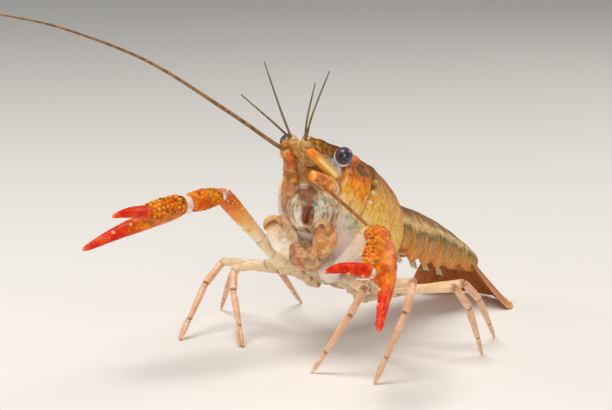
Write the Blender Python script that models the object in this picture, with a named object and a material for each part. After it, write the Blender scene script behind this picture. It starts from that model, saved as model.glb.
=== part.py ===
"""Red swamp crayfish, a young adult rearing up with its claws open, as a still life-size model.

Each named part of the body is one closed solid, and neighbours meet face to face across GAP.
The model is shaped in millimetres and set down in metres: +Z up, the animal faces -Y, its left
side is +X, and its feet and tail fan stand on z = 0 with the origin under the middle of its box.

Trunk frame, for all that the carapace carries: x forward, y left, z up from the mid height, and
the carapace's rear edge at REAR_X. Stance frame, for feet and claws: level, facing -Y, mm.
"""

import math
import random

import bmesh
import bpy
from mathutils import Matrix, Vector

METRES_PER_MM = 0.001
GAP = 0.3
KEPT_SHARE = 0.3  # a cut that leaves less than this of a piece has failed
ROUNDING_SHARE = 0.999  # of a volume that a union may lose to rounding
SHARP_ANGLE = 40  # degrees, where the shading shows an edge
LEFT, RIGHT = 1, -1
SIDES = {"left": LEFT, "right": RIGHT}

# ------------------------------------------------------------------ stance of the trunk
TRUNK_PITCH = 27.7  # degrees, head raised
TRUNK_ROLL = 11.5  # degrees, left side lower
TRUNK_YAW = 5  # degrees, head turned to its left
TRUNK_ORIGIN = (-3.3, 0.8, 14.6)  # stance frame, mm

TRUNK = (
    Matrix.Translation(TRUNK_ORIGIN)
    @ Matrix.Rotation(math.radians(TRUNK_YAW - 90), 4, "Z")
    @ Matrix.Rotation(math.radians(-TRUNK_PITCH), 4, "Y")
    @ Matrix.Rotation(math.radians(-TRUNK_ROLL), 4, "X")
)

# ------------------------------------------------------------------ carapace, (x, value) in mm
REAR_X = 2.2
HALF_WIDTH = ((2.2, 6.7), (6, 7.6), (11.5, 8.0), (17, 7.9), (22.8, 7.1), (27.5, 6.0), (31.5, 4.5))
TOP = ((2.2, 8.0), (7.8, 9.1), (13.4, 9.4), (19, 9.1), (24.6, 8.0), (31.5, 6.3))
BOTTOM = ((2.2, 6.2), (6.9, 8.3), (13.4, 9.0), (19, 8.8), (23.7, 7.6), (27.4, 5.8), (31.5, 3.2))
TOP_POWER, BOTTOM_POWER = 2.2, 2.5  # roundness of the cross-section above and below
CARAPACE_SIDES = 36
BROW_X = 31.5  # front edge at the brow
BROW_SLOPE = 0.47  # the front edge falls back by this much for each mm below the brow
GROOVE = ((0, 15.3), (50, 20.6), (90, 22.6), (125, 24.2), (150, 23.5), (180, 20.0))  # (degrees, x)
GROOVE_END = 140  # degrees from the top
GROOVE_DEPTH = 0.45
GROOVE_STATION = 0.5
MIDLINE_CREASE = 0.22  # along the back, behind the groove
CARAPACE_STATIONS = (0, 0.08, 0.22, 0.36, 0.465, 0.5, 0.535, 0.62, 0.73, 0.8, 0.87, 1)
SHOULDER_X, SHOULDER_DEGREES, SHOULDER_HEIGHT = 25.2, 27, 0.85  # the swelling behind each eye
SHOULDER_SPREAD = (2.4, 11)  # along x in mm and round the section in degrees

# ------------------------------------------------------------------ rostrum, along x in mm
ROSTRUM_ROOT, ROSTRUM_TIP = 26.5, 36.8
ROSTRUM_HALF_WIDTH = ((26.5, 3.6), (31, 3.5), (33.5, 2.5), (35.2, 1.5), (35.6, 0.8), (36.8, 0.25))
ROSTRUM_TOP = ((26.5, 6.7), (31, 6.7), (34, 6.2), (36.8, 6.1))
ROSTRUM_RIM, ROSTRUM_TROUGH = 0.35, 0.35
ROSTRUM_THICKNESS = 1.9
ROSTRUM_STATIONS = (ROSTRUM_ROOT, 29, 31, 32.3, 33.5, 34.5, 35.2, 35.6, ROSTRUM_TIP)

# ------------------------------------------------------------------ tubercles and spines
SPIKE_SIDES = 5
SPIKE_SINK = 0.3  # how deep a spike's foot sits in the shell it grows from
# x, degrees from the top, reach, foot radius and lean forward of the carapace's named spines
CARAPACE_SPINES = (
    (30.0, 44, 0.7, 0.4, 0.9),  # behind the eye
    (28.2, 44, 0.3, 0.4, 0.5),
    (20.9, 80, 0.6, 0.35, 0.8),  # at the cervical groove
    (27.2, 96, 0.5, 0.35, 0.9),  # below the antenna
)
CHEEK_X, CHEEK_DEGREES, CHEEK_COUNT = (23.2, 27.0), (62, 118), 12
CHEEK_REACH, CHEEK_RADIUS, CHEEK_LEAN = 0.16, 0.26, 2.0
CHEEK_SEED = 11

# ------------------------------------------------------------------ head
EYE_CENTRE = {"left": Vector((33.4, 5.25, 5.35)), "right": Vector((33.3, -4.6, 5.1))}
EYE_RADIUS = 1.45
EYE_CUT = 0.7  # the cornea ends this far behind the eye's centre
STALK_ROOT = (30.9, 3.1, 4.0)
STALK_RADII = (0.85, 0.9, 1.15, 1.3)
FACE_STEPS = ((GAP, 0.93), (1.3, 0.82), (2.3, 0.6), (2.9, 0.3))  # (mm ahead of the edge, scale)
# upper lip, then per side a mandible and the gland bump under the antenna: centre, radii
LIP = ((30.6, 0, -2.4), (1.2, 1.5, 2.2))
MANDIBLE = ((28.5, 1.7, -4.9), (1.7, 1.4, 1.7))
GLAND_BUMP = ((30.9, 3.1, -1.2), (1.1, 1.1, 1.1))

# ------------------------------------------------------------------ sternum
STERNUM_X = (4.0, 6.5, 10, 14, 18, 21.5, 24.0)
STERNUM_HALF_WIDTH = ((4.0, 1.8), (6.5, 2.8), (14, 3.0), (21.5, 2.8), (24.0, 1.6))
STERNUM_DEPTH = ((4.0, 1.0), (6.5, 2.0), (14, 2.0), (21.5, 1.9), (24.0, 0.9))

# ------------------------------------------------------------------ abdomen
ABDOMEN_START = Vector((REAR_X - GAP, 0, 7.3))
# per segment: length, half width, depth, pleuron length, slope down in degrees, turn left
ABDOMEN = (
    (3.2, 6.2, 7.4, 0.8, 15, 0),
    (5.0, 7.0, 8.0, 2.2, 17, 5),
    (5.2, 7.1, 8.0, 2.3, 21, 9),
    (5.0, 6.9, 7.5, 2.2, 27, 12),
    (4.8, 6.4, 6.6, 2.0, 32, 15),
    (5.6, 5.6, 4.9, 1.2, 36, 17),
)
AFTER_ABDOMEN = (0, 4.8, 3.9)  # what the last segment tapers towards
PLEURON_DROP = ((0, 0.3), (0.25, 0.85), (0.6, 1.0), (0.85, 0.75), (1, 0.3))  # share along, of its length
SEGMENT_ARCH = 0.18

# ------------------------------------------------------------------ walking legs, trunk frame
LEG_ROOT_X = {2: 16.6, 3: 12.8, 4: 9.0, 5: 5.2}
LEG_ROOT_Y, LEG_ROOT_Z = 3.3, -9.9
COXA_END_Y, COXA_DROP = 5.4, 0.1
# share of the way from coxa to knee, radius
THIGH = ((0.14, 0.62), (0.3, 0.72), (0.36, 0.64), (0.65, 0.76), (0.9, 0.66))
COXA_RADIUS, KNEE_RADIUS = 1.0, 0.66
WRIST_SHARE, ANKLE_SHARE = 0.33, 0.76  # of the way from knee to foot
WRIST_BOW, ANKLE_BOW = (0.7, 0.6), (0.3, 0.3)  # mm outwards and up from that straight line
SHIN_RADII = (0.6, 0.62, 0.6, 0.48, 0.56, 0.5, 0.4, 0.33, 0.26)
# stance frame: knee and foot in mm
LEG_STANCE = {
    ("left", 2): ((11.6, -31.8, 14.2), (2.8, -32.5)),
    ("left", 3): ((18.1, -27.5, 15.1), (14.8, -34.6)),
    ("left", 4): ((21.1, -18.2, 12.8), (21.8, -8.7)),
    ("left", 5): ((18.8, -9.4, 11.7), (18.8, 3.7)),
    ("right", 2): ((-20.8, -14.6, 11.4), (-15.0, -22.2)),
    ("right", 3): ((-25.2, -10.5, 11.4), (-26.6, -22.7)),
    ("right", 4): ((-23.4, -7.0, 10.5), (-32.0, 1.0)),
    ("right", 5): ((-20.0, -1.0, 10.0), (-22.0, 12.5)),
}
NIPPER_PAIRS = (2, 3)  # the pairs that end in small pincers
NIPPER_ASIDE = 0.5
NIPPER_RADII = (0.3, 0.34, 0.26, 0.16)

# ------------------------------------------------------------------ feelers, trunk frame
ANTENNA_BASE = {
    "left": ((32.0, 4.75, 0.35), (34.3, 4.7, 0.45), (37.0, 4.5, 0.1), (39.5, 4.3, -0.4)),
    "right": ((31.8, -2.5, 0.05), (34.2, -2.3, 1.15), (36.2, -2.25, 2.15), (38.0, -2.55, 2.75)),
}
ANTENNA_BASE_RADII = (1.35, 1.3, 1.05, 0.85)
SCALE_RIB = {
    "left": ((33.0, 5.0, 2.0), (40.0, 2.4, 3.1)),
    "right": ((33.0, -4.7, 3.0), (38.7, -2.5, 3.75)),
}
# share along the rib: half thickness of the rib, reach of the blade towards the midline
SCALE_SECTIONS = (
    (0, 0.5, 0.55),
    (0.15, 0.62, 0.85),
    (0.45, 0.66, 1.1),
    (0.75, 0.66, 1.0),
    (0.93, 0.55, 0.7),
    (1, 0.3, 0.3),
)
# stance frame: the flagellum's course beyond its base, mm
FLAGELLUM = {
    "left": (
        (7.0, -33.5, 29.0),
        (11.3, -28.4, 22.8),
        (13.4, -28.1, 18.4),
        (13.6, -28.6, 13.2),
        (12.5, -29.5, 8.0),
    ),
    "right": (
        (-4.9, -31.8, 36.4),
        (-12.1, -32.5, 40.7),
        (-26.4, -33.0, 47.9),
        (-42.4, -33.0, 52.4),
        (-55.2, -32.0, 54.0),
    ),
}
FLAGELLUM_RADII = (0.36, 0.29, 0.23)  # at the root, halfway and at the tip
FLAGELLUM_POINTS = 37
ANTENNULE_BASE = {
    "left": ((33.4, 1.0, 3.2), (36.8, 1.0, 3.8), (39.6, 0.9, 4.3)),
    "right": ((33.4, -1.0, 2.9), (36.6, -1.2, 3.6), (39.6, -1.35, 4.3)),
}
ANTENNULE_BASE_RADII = (0.8, 0.88, 0.84)
ANTENNULE_TIPS = {
    "left": ((41.0, 1.2, 16.1), (43.0, 0.6, 13.1)),
    "right": ((46.5, -7.3, 13.4), (47.0, -8.6, 7.1)),
}
ANTENNULE_RADII = [0.26] * 5 + [0.22] * 4

# ------------------------------------------------------------------ third maxillipeds, trunk frame
# the broad base and the palp that turns in over the mouth: paths, (half across, half up) or radii
MAXILLIPED_BASE = {
    "left": (
        ((23.7, 2.9, -9.6), (26.8, 4.4, -7.2), (28.6, 4.7, -5.6)),
        ((1.3, 1.0), (1.9, 1.1), (1.5, 1.0)),
    ),
    "right": (
        ((23.0, -0.6, -10.2), (26.9, -2.3, -8.8), (29.5, -4.1, -7.6)),
        ((0.8, 1.3), (1.0, 2.3), (0.9, 1.4)),
    ),
}
MAXILLIPED_PALP = {
    "left": ((28.6, 4.7, -5.6), (30.1, 4.3, -4.7), (30.3, 3.1, -5.4), (29.4, 1.8, -6.9)),
    "right": ((29.5, -4.1, -7.6), (30.8, -3.8, -6.4), (30.7, -2.0, -6.2), (29.8, -0.2, -6.6)),
}
MAXILLIPED_PALP_RADII = (0.95, 0.8, 0.65, 0.35)

# ------------------------------------------------------------------ chelipeds, stance frame in mm
CHELIPED_ROOT = (20.5, 3.3, -10.4)
CHELIPED_STANCE = {
    "left": {
        "elbow": (13.3, -33.1, 23.3),
        "wrist": (17.6, -37.9, 23.8),
        "tip": (23.7, -52.2, 12.9),
        "finger tip": (15.5, -53.2, 21.2),
        "opening": (-0.63, -0.625, 0.465),
        "bow": 0.1,
    },
    "right": {
        "elbow": (-12.9, -32.5, 27.2),
        "wrist": (-16.2, -38.1, 26.5),
        "tip": (-26.0, -53.4, 20.8),
        "finger tip": (-19.5, -54.8, 26.8),
        "opening": (0.557, -0.575, 0.6),
        "bow": 1.6,
    },
}
KNUCKLE_SHARE = 0.3  # of the way from coxa to elbow, where the arm's last long piece begins
# share of the way along each arm piece, (half across, half up) or radius
ARM_ROOT_RADII = (1.7, 1.65, 1.05, 1.15, 1.1)
MERUS_SECTIONS = (
    (0, (1.0, 1.05)),
    (0.2, (1.05, 1.15)),
    (0.6, (1.2, 1.35)),
    (0.88, (1.3, 1.45)),
    (1, (1.05, 1.15)),
)
CARPUS_SECTIONS = (
    (0, (1.0, 1.05)),
    (0.25, (1.45, 1.45)),
    (0.6, (1.75, 1.65)),
    (0.88, (1.55, 1.5)),
    (1, (1.15, 1.1)),
)
HAND_LENGTH = 19.0
# along the hand in mm: shift away from the thumb's side, half depth, half thickness
HAND = (
    (0.15, 0.0, 1.2, 1.1),
    (0.9, -0.05, 1.8, 1.4),
    (2.6, -0.1, 2.45, 1.7),
    (5.2, -0.2, 2.8, 1.8),
    (7.2, -0.2, 2.75, 1.75),
    (8.0, -0.2, 2.5, 1.65),
    (8.5, 1.05, 1.25, 1.4),
    (11.0, 0.95, 1.05, 1.2),
    (14.0, 0.55, 0.85, 0.95),
    (17.0, 0.25, 0.6, 0.65),
    (18.6, 0.05, 0.35, 0.36),
    (19.0, 0.0, 0.22, 0.24),
)
# along the movable finger in mm: bow outwards, half depth, half thickness
FINGER = (
    (0.0, 0.0, 0.9, 1.1),
    (1.0, 0.1, 1.1, 1.2),
    (3.0, 0.4, 1.0, 1.05),
    (6.0, 0.65, 0.85, 0.85),
    (8.6, 0.45, 0.58, 0.6),
    (10.1, 0.1, 0.34, 0.36),
    (10.6, -0.15, 0.22, 0.24),
)
FINGER_ROOT = 7.8  # along the hand, where the movable finger's first ring lies
FINGER_SEAT = 1.6  # of that ring's centre from the hand's axis, towards the opening
# per row: degrees from the thumb's side, first and last place along in mm, count, reach, foot radius
PALM_SPIKES = (
    (0, 1.6, 7.2, 6, 0.34, 0.36),
    (24, 1.9, 6.6, 5, 0.28, 0.34),
    (-24, 1.9, 6.6, 5, 0.28, 0.34),
    (50, 2.4, 6.0, 4, 0.2, 0.32),
    (-50, 2.4, 6.0, 4, 0.2, 0.32),
)
FIXED_TEETH = (0, 10.2, 16.2, 5, 0.16, 0.26)
MOVING_TEETH = (180, 2.4, 8.4, 5, 0.16, 0.26)
# on the wrist piece: share of its length, degrees from the thumb's side, reach, foot radius
CARPUS_SPIKES = (
    (0.78, 0, 0.75, 0.42),
    (0.42, -8, 0.35, 0.34),
    (0.62, 34, 0.3, 0.32),
    (0.35, 40, 0.26, 0.3),
    (0.8, 42, 0.28, 0.3),
    (0.55, 74, 0.22, 0.3),
    (0.3, 78, 0.2, 0.28),
    (0.75, -36, 0.3, 0.32),
    (0.5, -42, 0.24, 0.3),
    (0.68, -76, 0.22, 0.3),
)
CARPUS_RADIUS = 1.55
# along the arm's last long piece, above its far end and in two rows below: share, reach
MERUS_ABOVE = ((0.93, 0.3), (0.84, 0.26), (0.74, 0.2))
MERUS_BELOW = (0.3, 0.9, 5)  # first and last share, count
MERUS_BELOW_DEGREES = (148, 212)
MERUS_RADIUS = 1.3
MERUS_REACH, MERUS_FOOT = 0.3, 0.32

# ------------------------------------------------------------------ swimmerets and tail fan
SWIMMERET_SEGMENTS = (1, 2, 3, 4)
SWIMMERET_OUT, SWIMMERET_DOWN = 0.42, 0.93  # shares of the half width and of the depth
SWIMMERET_LENGTH = 3.0
SWIMMERET_SIZES = ((0.45, 0.3), (0.75, 0.28), (0.7, 0.26), (0.3, 0.2))
# per blade: root to the side, root forward, heading to the side in degrees, length, half width
FAN_BLADES = {
    "telson": (0.0, 0.0, 0, 7.9, 3.7),
    "inner": (2.7, 0.3, 24, 7.8, 3.1),
    "outer": (4.0, 1.0, 50, 7.9, 3.4),
}
FAN_THICKNESS = 0.9
FAN_RIB = 0.3
FAN_ROOT_DROP, FAN_ROOT_FORWARD = 2.2, 0.6  # of the roots from the last segment's upper rear edge
FAN_FLAT = 0.9  # beyond this share of its length a blade lies on the floor
# along a blade as a share of its length: share of its half width
FAN_OUTLINE = (
    (0.0, 0.42),
    (0.2, 0.66),
    (0.45, 0.9),
    (0.7, 1.0),
    (0.86, 0.94),
    (0.95, 0.74),
    (1.0, 0.45),
)

# ------------------------------------------------------------------ name, linear RGB, roughness
FINISHES = (
    ("olive_ochre_shell", (0.33, 0.17, 0.05), 0.4),
    ("pale_underside", (0.66, 0.5, 0.36), 0.45),
    ("orange_red_claw", (0.65, 0.11, 0.015), 0.38),
    ("tan_limb", (0.55, 0.32, 0.17), 0.45),
    ("brown_feeler", (0.25, 0.1, 0.04), 0.5),
    ("dark_cornea", (0.02, 0.01, 0.03), 0.15),
)


def trunk_point(x, y, z):
    """A trunk-frame place, in stance-frame mm."""
    return TRUNK @ Vector((x, y, z))


def smooth(table, x):
    """Value at x of a smooth curve through (x, value) pairs."""
    if x <= table[0][0]:
        return table[0][1]
    if x >= table[-1][0]:
        return table[-1][1]
    last = len(table) - 1
    i = next(k for k in range(last) if x <= table[k + 1][0])
    (x0, v0), (x1, v1) = table[i], table[i + 1]
    chord = (v1 - v0) / (x1 - x0)
    before = (v0 - table[i - 1][1]) / (x0 - table[i - 1][0]) if i > 0 else chord
    after = (table[i + 2][1] - v1) / (table[i + 2][0] - x1) if i + 2 <= last else chord
    slope0, slope1 = (before + chord) / 2, (after + chord) / 2
    t = (x - x0) / (x1 - x0)
    width = x1 - x0
    return (
        v0 * (1 + 2 * t) * (1 - t) ** 2
        + v1 * t * t * (3 - 2 * t)
        + slope0 * width * t * (1 - t) ** 2
        - slope1 * width * t * t * (1 - t)
    )


# ------------------------------------------------------------------ mesh helpers
def loft(rings):
    """A closed skin over rings that all have the same number of points."""
    bm = bmesh.new()
    loop = bmesh.ops.create_circle(bm, segments=len(rings[0]), radius=1)["verts"]
    for vert, point in zip(loop, rings[0]):
        vert.co = point
    first_loop = loop
    for ring in rings[1:]:
        edges = [bm.edges.get((loop[i - 1], loop[i])) for i in range(len(loop))]
        made = bmesh.ops.extrude_edge_only(bm, edges=edges)["geom"]
        fresh = {item for item in made if isinstance(item, bmesh.types.BMVert)}
        loop = [
            next(e.other_vert(v) for e in v.link_edges if e.other_vert(v) in fresh) for v in loop
        ]
        for vert, point in zip(loop, ring):
            vert.co = point
    for end in (first_loop, loop):
        edges = [bm.edges.get((end[i - 1], end[i])) for i in range(len(end))]
        cap = bmesh.ops.edgeloop_fill(bm, edges=edges)["faces"]
        bmesh.ops.poke(bm, faces=cap)
    bmesh.ops.recalc_face_normals(bm, faces=bm.faces)
    bmesh.ops.triangulate(bm, faces=bm.faces)
    return bm


def oval_ring(centre, across, upward, half_across, half_up, sides):
    """Points round an ellipse that has the two given unit directions."""
    points = []
    for i in range(sides):
        angle = 2 * math.pi * i / sides
        points.append(
            centre + across * (half_across * math.cos(angle)) + upward * (half_up * math.sin(angle))
        )
    return points


def tube_rings(path, sizes, sides, upward, start_plane=None, end_plane=None):
    """Rings along a path of points. sizes holds (half across, half up) for each point.

    The end planes are the directions in which the first and last cut look.
    """
    path = [Vector(p) for p in path]
    rings = []
    for i, point in enumerate(path):
        back = (point - path[i - 1]).normalized() if i > 0 else None
        ahead = (path[i + 1] - point).normalized() if i + 1 < len(path) else None
        along = ((back or ahead) + (ahead or back)).normalized()
        across = along.cross(upward).normalized()
        normal = across.cross(along).normalized()
        ring = oval_ring(point, across, normal, sizes[i][0], sizes[i][1], sides)
        plane = start_plane if i == 0 else end_plane if i == len(path) - 1 else None
        if plane is not None:
            plane = Vector(plane).normalized()
            ring = [p - along * ((p - point).dot(plane) / along.dot(plane)) for p in ring]
        rings.append(ring)
    return rings


def tube(path, sizes, sides, upward, start_plane=None, end_plane=None):
    """A closed tube along a path; sizes may be radii or (half across, half up) pairs."""
    pairs = [s if isinstance(s, tuple) else (s, s) for s in sizes]
    return loft(tube_rings(path, pairs, sides, Vector(upward), start_plane, end_plane))


def ball(centre, radii, across=16, along=10):
    """An ellipsoid."""
    bm = bmesh.new()
    bmesh.ops.create_uvsphere(bm, u_segments=across, v_segments=along, radius=1)
    bmesh.ops.scale(bm, vec=Vector(radii), verts=bm.verts)
    bmesh.ops.translate(bm, vec=Vector(centre), verts=bm.verts)
    bmesh.ops.triangulate(bm, faces=bm.faces)
    return bm


def as_object(name, bm):
    """A scene object, still in millimetres, from a bmesh."""
    mesh = bpy.data.meshes.new(name)
    bm.to_mesh(mesh)
    bm.free()
    obj = bpy.data.objects.new(name, mesh)
    bpy.context.collection.objects.link(obj)
    return obj


def in_trunk(bm):
    """Carry a bmesh shaped in the trunk frame over to the stance frame."""
    bmesh.ops.transform(bm, matrix=TRUNK, verts=bm.verts)
    return bm


def remove(obj):
    mesh = obj.data
    bpy.data.objects.remove(obj)
    bpy.data.meshes.remove(mesh)


def is_closed(mesh):
    """Whether a mesh has faces and each of its edges joins exactly two."""
    uses = [0] * len(mesh.edges)
    for loop in mesh.loops:
        uses[loop.edge_index] += 1
    return bool(uses) and all(count == 2 for count in uses)


def volume(mesh):
    bm = bmesh.new()
    bm.from_mesh(mesh)
    amount = bm.calc_volume()
    bm.free()
    return amount


def boolean(obj, operation, tool):
    """Apply a Boolean with a tool object or collection: EXACT, or MANIFOLD where that fails."""
    least = volume(obj.data) * (KEPT_SHARE if operation == "DIFFERENCE" else 1)
    for solver in ("EXACT", "MANIFOLD"):
        step = obj.modifiers.new("step", "BOOLEAN")
        step.operation = operation
        step.solver = solver
        if isinstance(tool, bpy.types.Collection):
            step.operand_type = "COLLECTION"
            step.collection = tool
        else:
            step.object = tool
        graph = bpy.context.evaluated_depsgraph_get()
        mesh = bpy.data.meshes.new_from_object(obj.evaluated_get(graph))
        obj.modifiers.clear()
        if is_closed(mesh) and volume(mesh) >= least * ROUNDING_SHARE:
            break
    old = obj.data
    obj.data = mesh
    bpy.data.meshes.remove(old)


def keep_largest(obj):
    """Drop every closed surface of the object but the largest."""
    bm = bmesh.new()
    bm.from_mesh(obj.data)
    left = set(bm.faces)
    groups = []
    while left:
        group = [left.pop()]
        for face in group:
            for edge in face.edges:
                for other in edge.link_faces:
                    if other in left:
                        left.remove(other)
                        group.append(other)
        groups.append(group)
    groups.sort(key=lambda g: -sum(f.calc_area() for f in g))
    spare = [f for g in groups[1:] for f in g]
    bmesh.ops.delete(bm, geom=spare, context="FACES")
    bm.to_mesh(obj.data)
    bm.free()


def cut_clear(obj, neighbour):
    """Cut an object back until it clears its neighbour by the gap."""
    bm = bmesh.new()
    bm.from_mesh(neighbour.data)
    moved = [(v, v.co + v.normal * GAP) for v in bm.verts]
    for vert, place in moved:
        vert.co = place
    swollen = as_object("cutter", bm)
    boolean(obj, "DIFFERENCE", swollen)
    remove(swollen)
    keep_largest(obj)
    if not obj.data.vertices:
        raise ValueError(f"{obj.name} lies wholly inside {neighbour.name}")


def join(obj, pieces):
    """Fuse bmesh pieces into an object and keep one closed surface."""
    group = bpy.data.collections.new("pieces")
    bpy.context.scene.collection.children.link(group)
    for bm in pieces:
        piece = as_object("piece", bm)
        bpy.context.collection.objects.unlink(piece)
        group.objects.link(piece)
    boolean(obj, "UNION", group)
    for piece in list(group.objects):
        remove(piece)
    bpy.data.collections.remove(group)
    keep_largest(obj)


# ------------------------------------------------------------------ spikes
def spike(place, outward, reach, radius, blunt=0.4):
    """A five-sided tubercle or spine, in the frame of its place and outward direction."""
    bm = bmesh.new()
    bmesh.ops.create_cone(
        bm,
        cap_ends=True,
        segments=SPIKE_SIDES,
        radius1=radius,
        radius2=radius * blunt,
        depth=reach + SPIKE_SINK,
    )
    outward = Vector(outward).normalized()
    turn = outward.to_track_quat("Z", "Y").to_matrix().to_4x4()
    middle = Vector(place) + outward * (reach - SPIKE_SINK) / 2
    bmesh.ops.transform(bm, matrix=Matrix.Translation(middle) @ turn, verts=bm.verts)
    bmesh.ops.triangulate(bm, faces=bm.faces)
    return bm


def row(first, last, count):
    """Evenly spaced places from first to last."""
    return [first + (last - first) * i / (count - 1) for i in range(count)]


# ------------------------------------------------------------------ finishes
def finish(name, colour, roughness):
    """A shell finish, colour in linear RGB."""
    material = bpy.data.materials.new(name)
    material.use_nodes = True
    shader = material.node_tree.nodes["Principled BSDF"]
    shader.inputs["Base Color"].default_value = (*colour, 1)
    shader.inputs["Roughness"].default_value = roughness
    shader.inputs["Metallic"].default_value = 0
    return material


def dress(obj, material):
    obj.data.materials.clear()
    obj.data.materials.append(material)
    obj.data.shade_smooth()
    obj.data.set_sharp_from_angle(angle=math.radians(SHARP_ANGLE))


# ------------------------------------------------------------------ carapace
def section_point(x, angle):
    """Point on the carapace's skin at x, angle in radians from the top to the left side."""
    above = math.cos(angle) > 0
    power = 2 / (TOP_POWER if above else BOTTOM_POWER)
    height = smooth(TOP if above else BOTTOM, x)
    side, rise = math.sin(angle), math.cos(angle)
    y = smooth(HALF_WIDTH, x) * math.copysign(abs(side) ** power, side)
    z = height * math.copysign(abs(rise) ** power, rise)
    return Vector((x, y, z))


def front_edge(angle):
    """Point of the carapace's front edge, which slants back towards the mouth."""
    point = section_point(BROW_X, angle)
    for _ in range(6):
        x = BROW_X - BROW_SLOPE * (smooth(TOP, BROW_X) - point.z)
        point = section_point(x, angle)
    return point


def carapace_ring(station):
    """Ring of the carapace; the one at GROOVE_STATION runs along the cervical groove."""
    ring = []
    for i in range(CARAPACE_SIDES):
        angle = 2 * math.pi * i / CARAPACE_SIDES
        from_top = abs(math.degrees(angle if angle <= math.pi else angle - 2 * math.pi))
        groove_x = smooth(GROOVE, from_top)
        if station <= GROOVE_STATION:
            x = REAR_X + (groove_x - REAR_X) * station / GROOVE_STATION
        else:
            share = (station - GROOVE_STATION) / (1 - GROOVE_STATION)
            x = groove_x + (front_edge(angle).x - groove_x) * share
        point = section_point(x, angle)
        if station == GROOVE_STATION and from_top < GROOVE_END:
            point -= Vector((0, point.y, point.z)).normalized() * GROOVE_DEPTH
        elif station > GROOVE_STATION:
            along = (x - SHOULDER_X) / SHOULDER_SPREAD[0]
            around = (from_top - SHOULDER_DEGREES) / SHOULDER_SPREAD[1]
            swell = SHOULDER_HEIGHT * math.exp(-(along**2) - around**2)
            point += Vector((0, point.y, point.z)).normalized() * swell
        elif station < GROOVE_STATION and i == 0:
            point.z -= MIDLINE_CREASE
        ring.append(point)
    return ring


def rostrum_ring(x):
    """Cross-section of the rostrum: raised rims, a shallow trough above and a keel below."""
    half = smooth(ROSTRUM_HALF_WIDTH, x)
    top = smooth(ROSTRUM_TOP, x)
    slim = min(1, half / 1.5)
    rim, trough = ROSTRUM_RIM * slim, ROSTRUM_TROUGH * slim
    thick = ROSTRUM_THICKNESS * (0.4 + 0.6 * slim)
    profile = (
        (0, top - trough),
        (0.6 * half, top - trough * 0.6),
        (0.86 * half, top + rim),
        (half, top + rim * 0.4),
        (0.88 * half, top - thick * 0.72),
        (0, top - thick),
    )
    left = [Vector((x, y, z)) for y, z in profile]
    right = [Vector((x, -y, z)) for y, z in profile[-2:0:-1]]
    return left + right


def carapace_spike(x, degrees, side, reach, radius, lean):
    place = section_point(x, math.radians(degrees) * side)
    return spike(place, (lean, place.y, place.z * 1.1), reach, radius)


def make_carapace(shell):
    bm = loft([carapace_ring(station) for station in CARAPACE_STATIONS])
    obj = as_object("carapace", in_trunk(bm))
    join(obj, [in_trunk(loft([rostrum_ring(x) for x in ROSTRUM_STATIONS]))])
    spikes = []
    for side in SIDES.values():
        chance = random.Random(CHEEK_SEED)
        for x, degrees, reach, radius, lean in CARAPACE_SPINES:
            scaled_lean = lean * section_point(x, math.radians(degrees)).yz.length
            spikes.append(carapace_spike(x, degrees, side, reach, radius, scaled_lean))
        for _ in range(CHEEK_COUNT):
            x, degrees = chance.uniform(*CHEEK_X), chance.uniform(*CHEEK_DEGREES)
            spikes.append(carapace_spike(x, degrees, side, CHEEK_REACH, CHEEK_RADIUS, CHEEK_LEAN))
    join(obj, [in_trunk(piece) for piece in spikes])
    dress(obj, shell)
    return obj


def make_sternum(shell):
    rings = []
    for x in STERNUM_X:
        half = smooth(STERNUM_HALF_WIDTH, x)
        roof = -0.98 * smooth(BOTTOM, x) - GAP
        keel = roof - smooth(STERNUM_DEPTH, x)
        outline = ((half, roof), (half, keel + 0.5), (half * 0.6, keel), (0, keel - 0.15))
        left = [Vector((x, y, z)) for y, z in outline]
        right = [Vector((x, -y, z)) for y, z in outline[-2::-1]]
        rings.append(left + right)
    obj = as_object("sternum", in_trunk(loft(rings)))
    dress(obj, shell)
    return obj


def mirrored(place, side):
    return place[0], place[1] * side, place[2]


def make_face(shell, carapace, sternum):
    """Epistome, mandibles and upper lip: all that fills the carapace's front opening."""
    edge = [front_edge(2 * math.pi * i / CARAPACE_SIDES) for i in range(CARAPACE_SIDES)]
    centre = sum(edge, Vector()) / len(edge)
    ahead = Vector((1, 0, -BROW_SLOPE)).normalized()
    rings = [[centre + (p - centre) * scale + ahead * step for p in edge] for step, scale in FACE_STEPS]
    obj = as_object("face", in_trunk(loft(rings)))
    lumps = [ball(*LIP)]
    for side in SIDES.values():
        lumps.append(ball(mirrored(MANDIBLE[0], side), MANDIBLE[1]))
        lumps.append(ball(mirrored(GLAND_BUMP[0], side), GLAND_BUMP[1]))
    join(obj, [in_trunk(lump) for lump in lumps])
    cut_clear(obj, carapace)
    cut_clear(obj, sternum)
    dress(obj, shell)
    return obj


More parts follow.
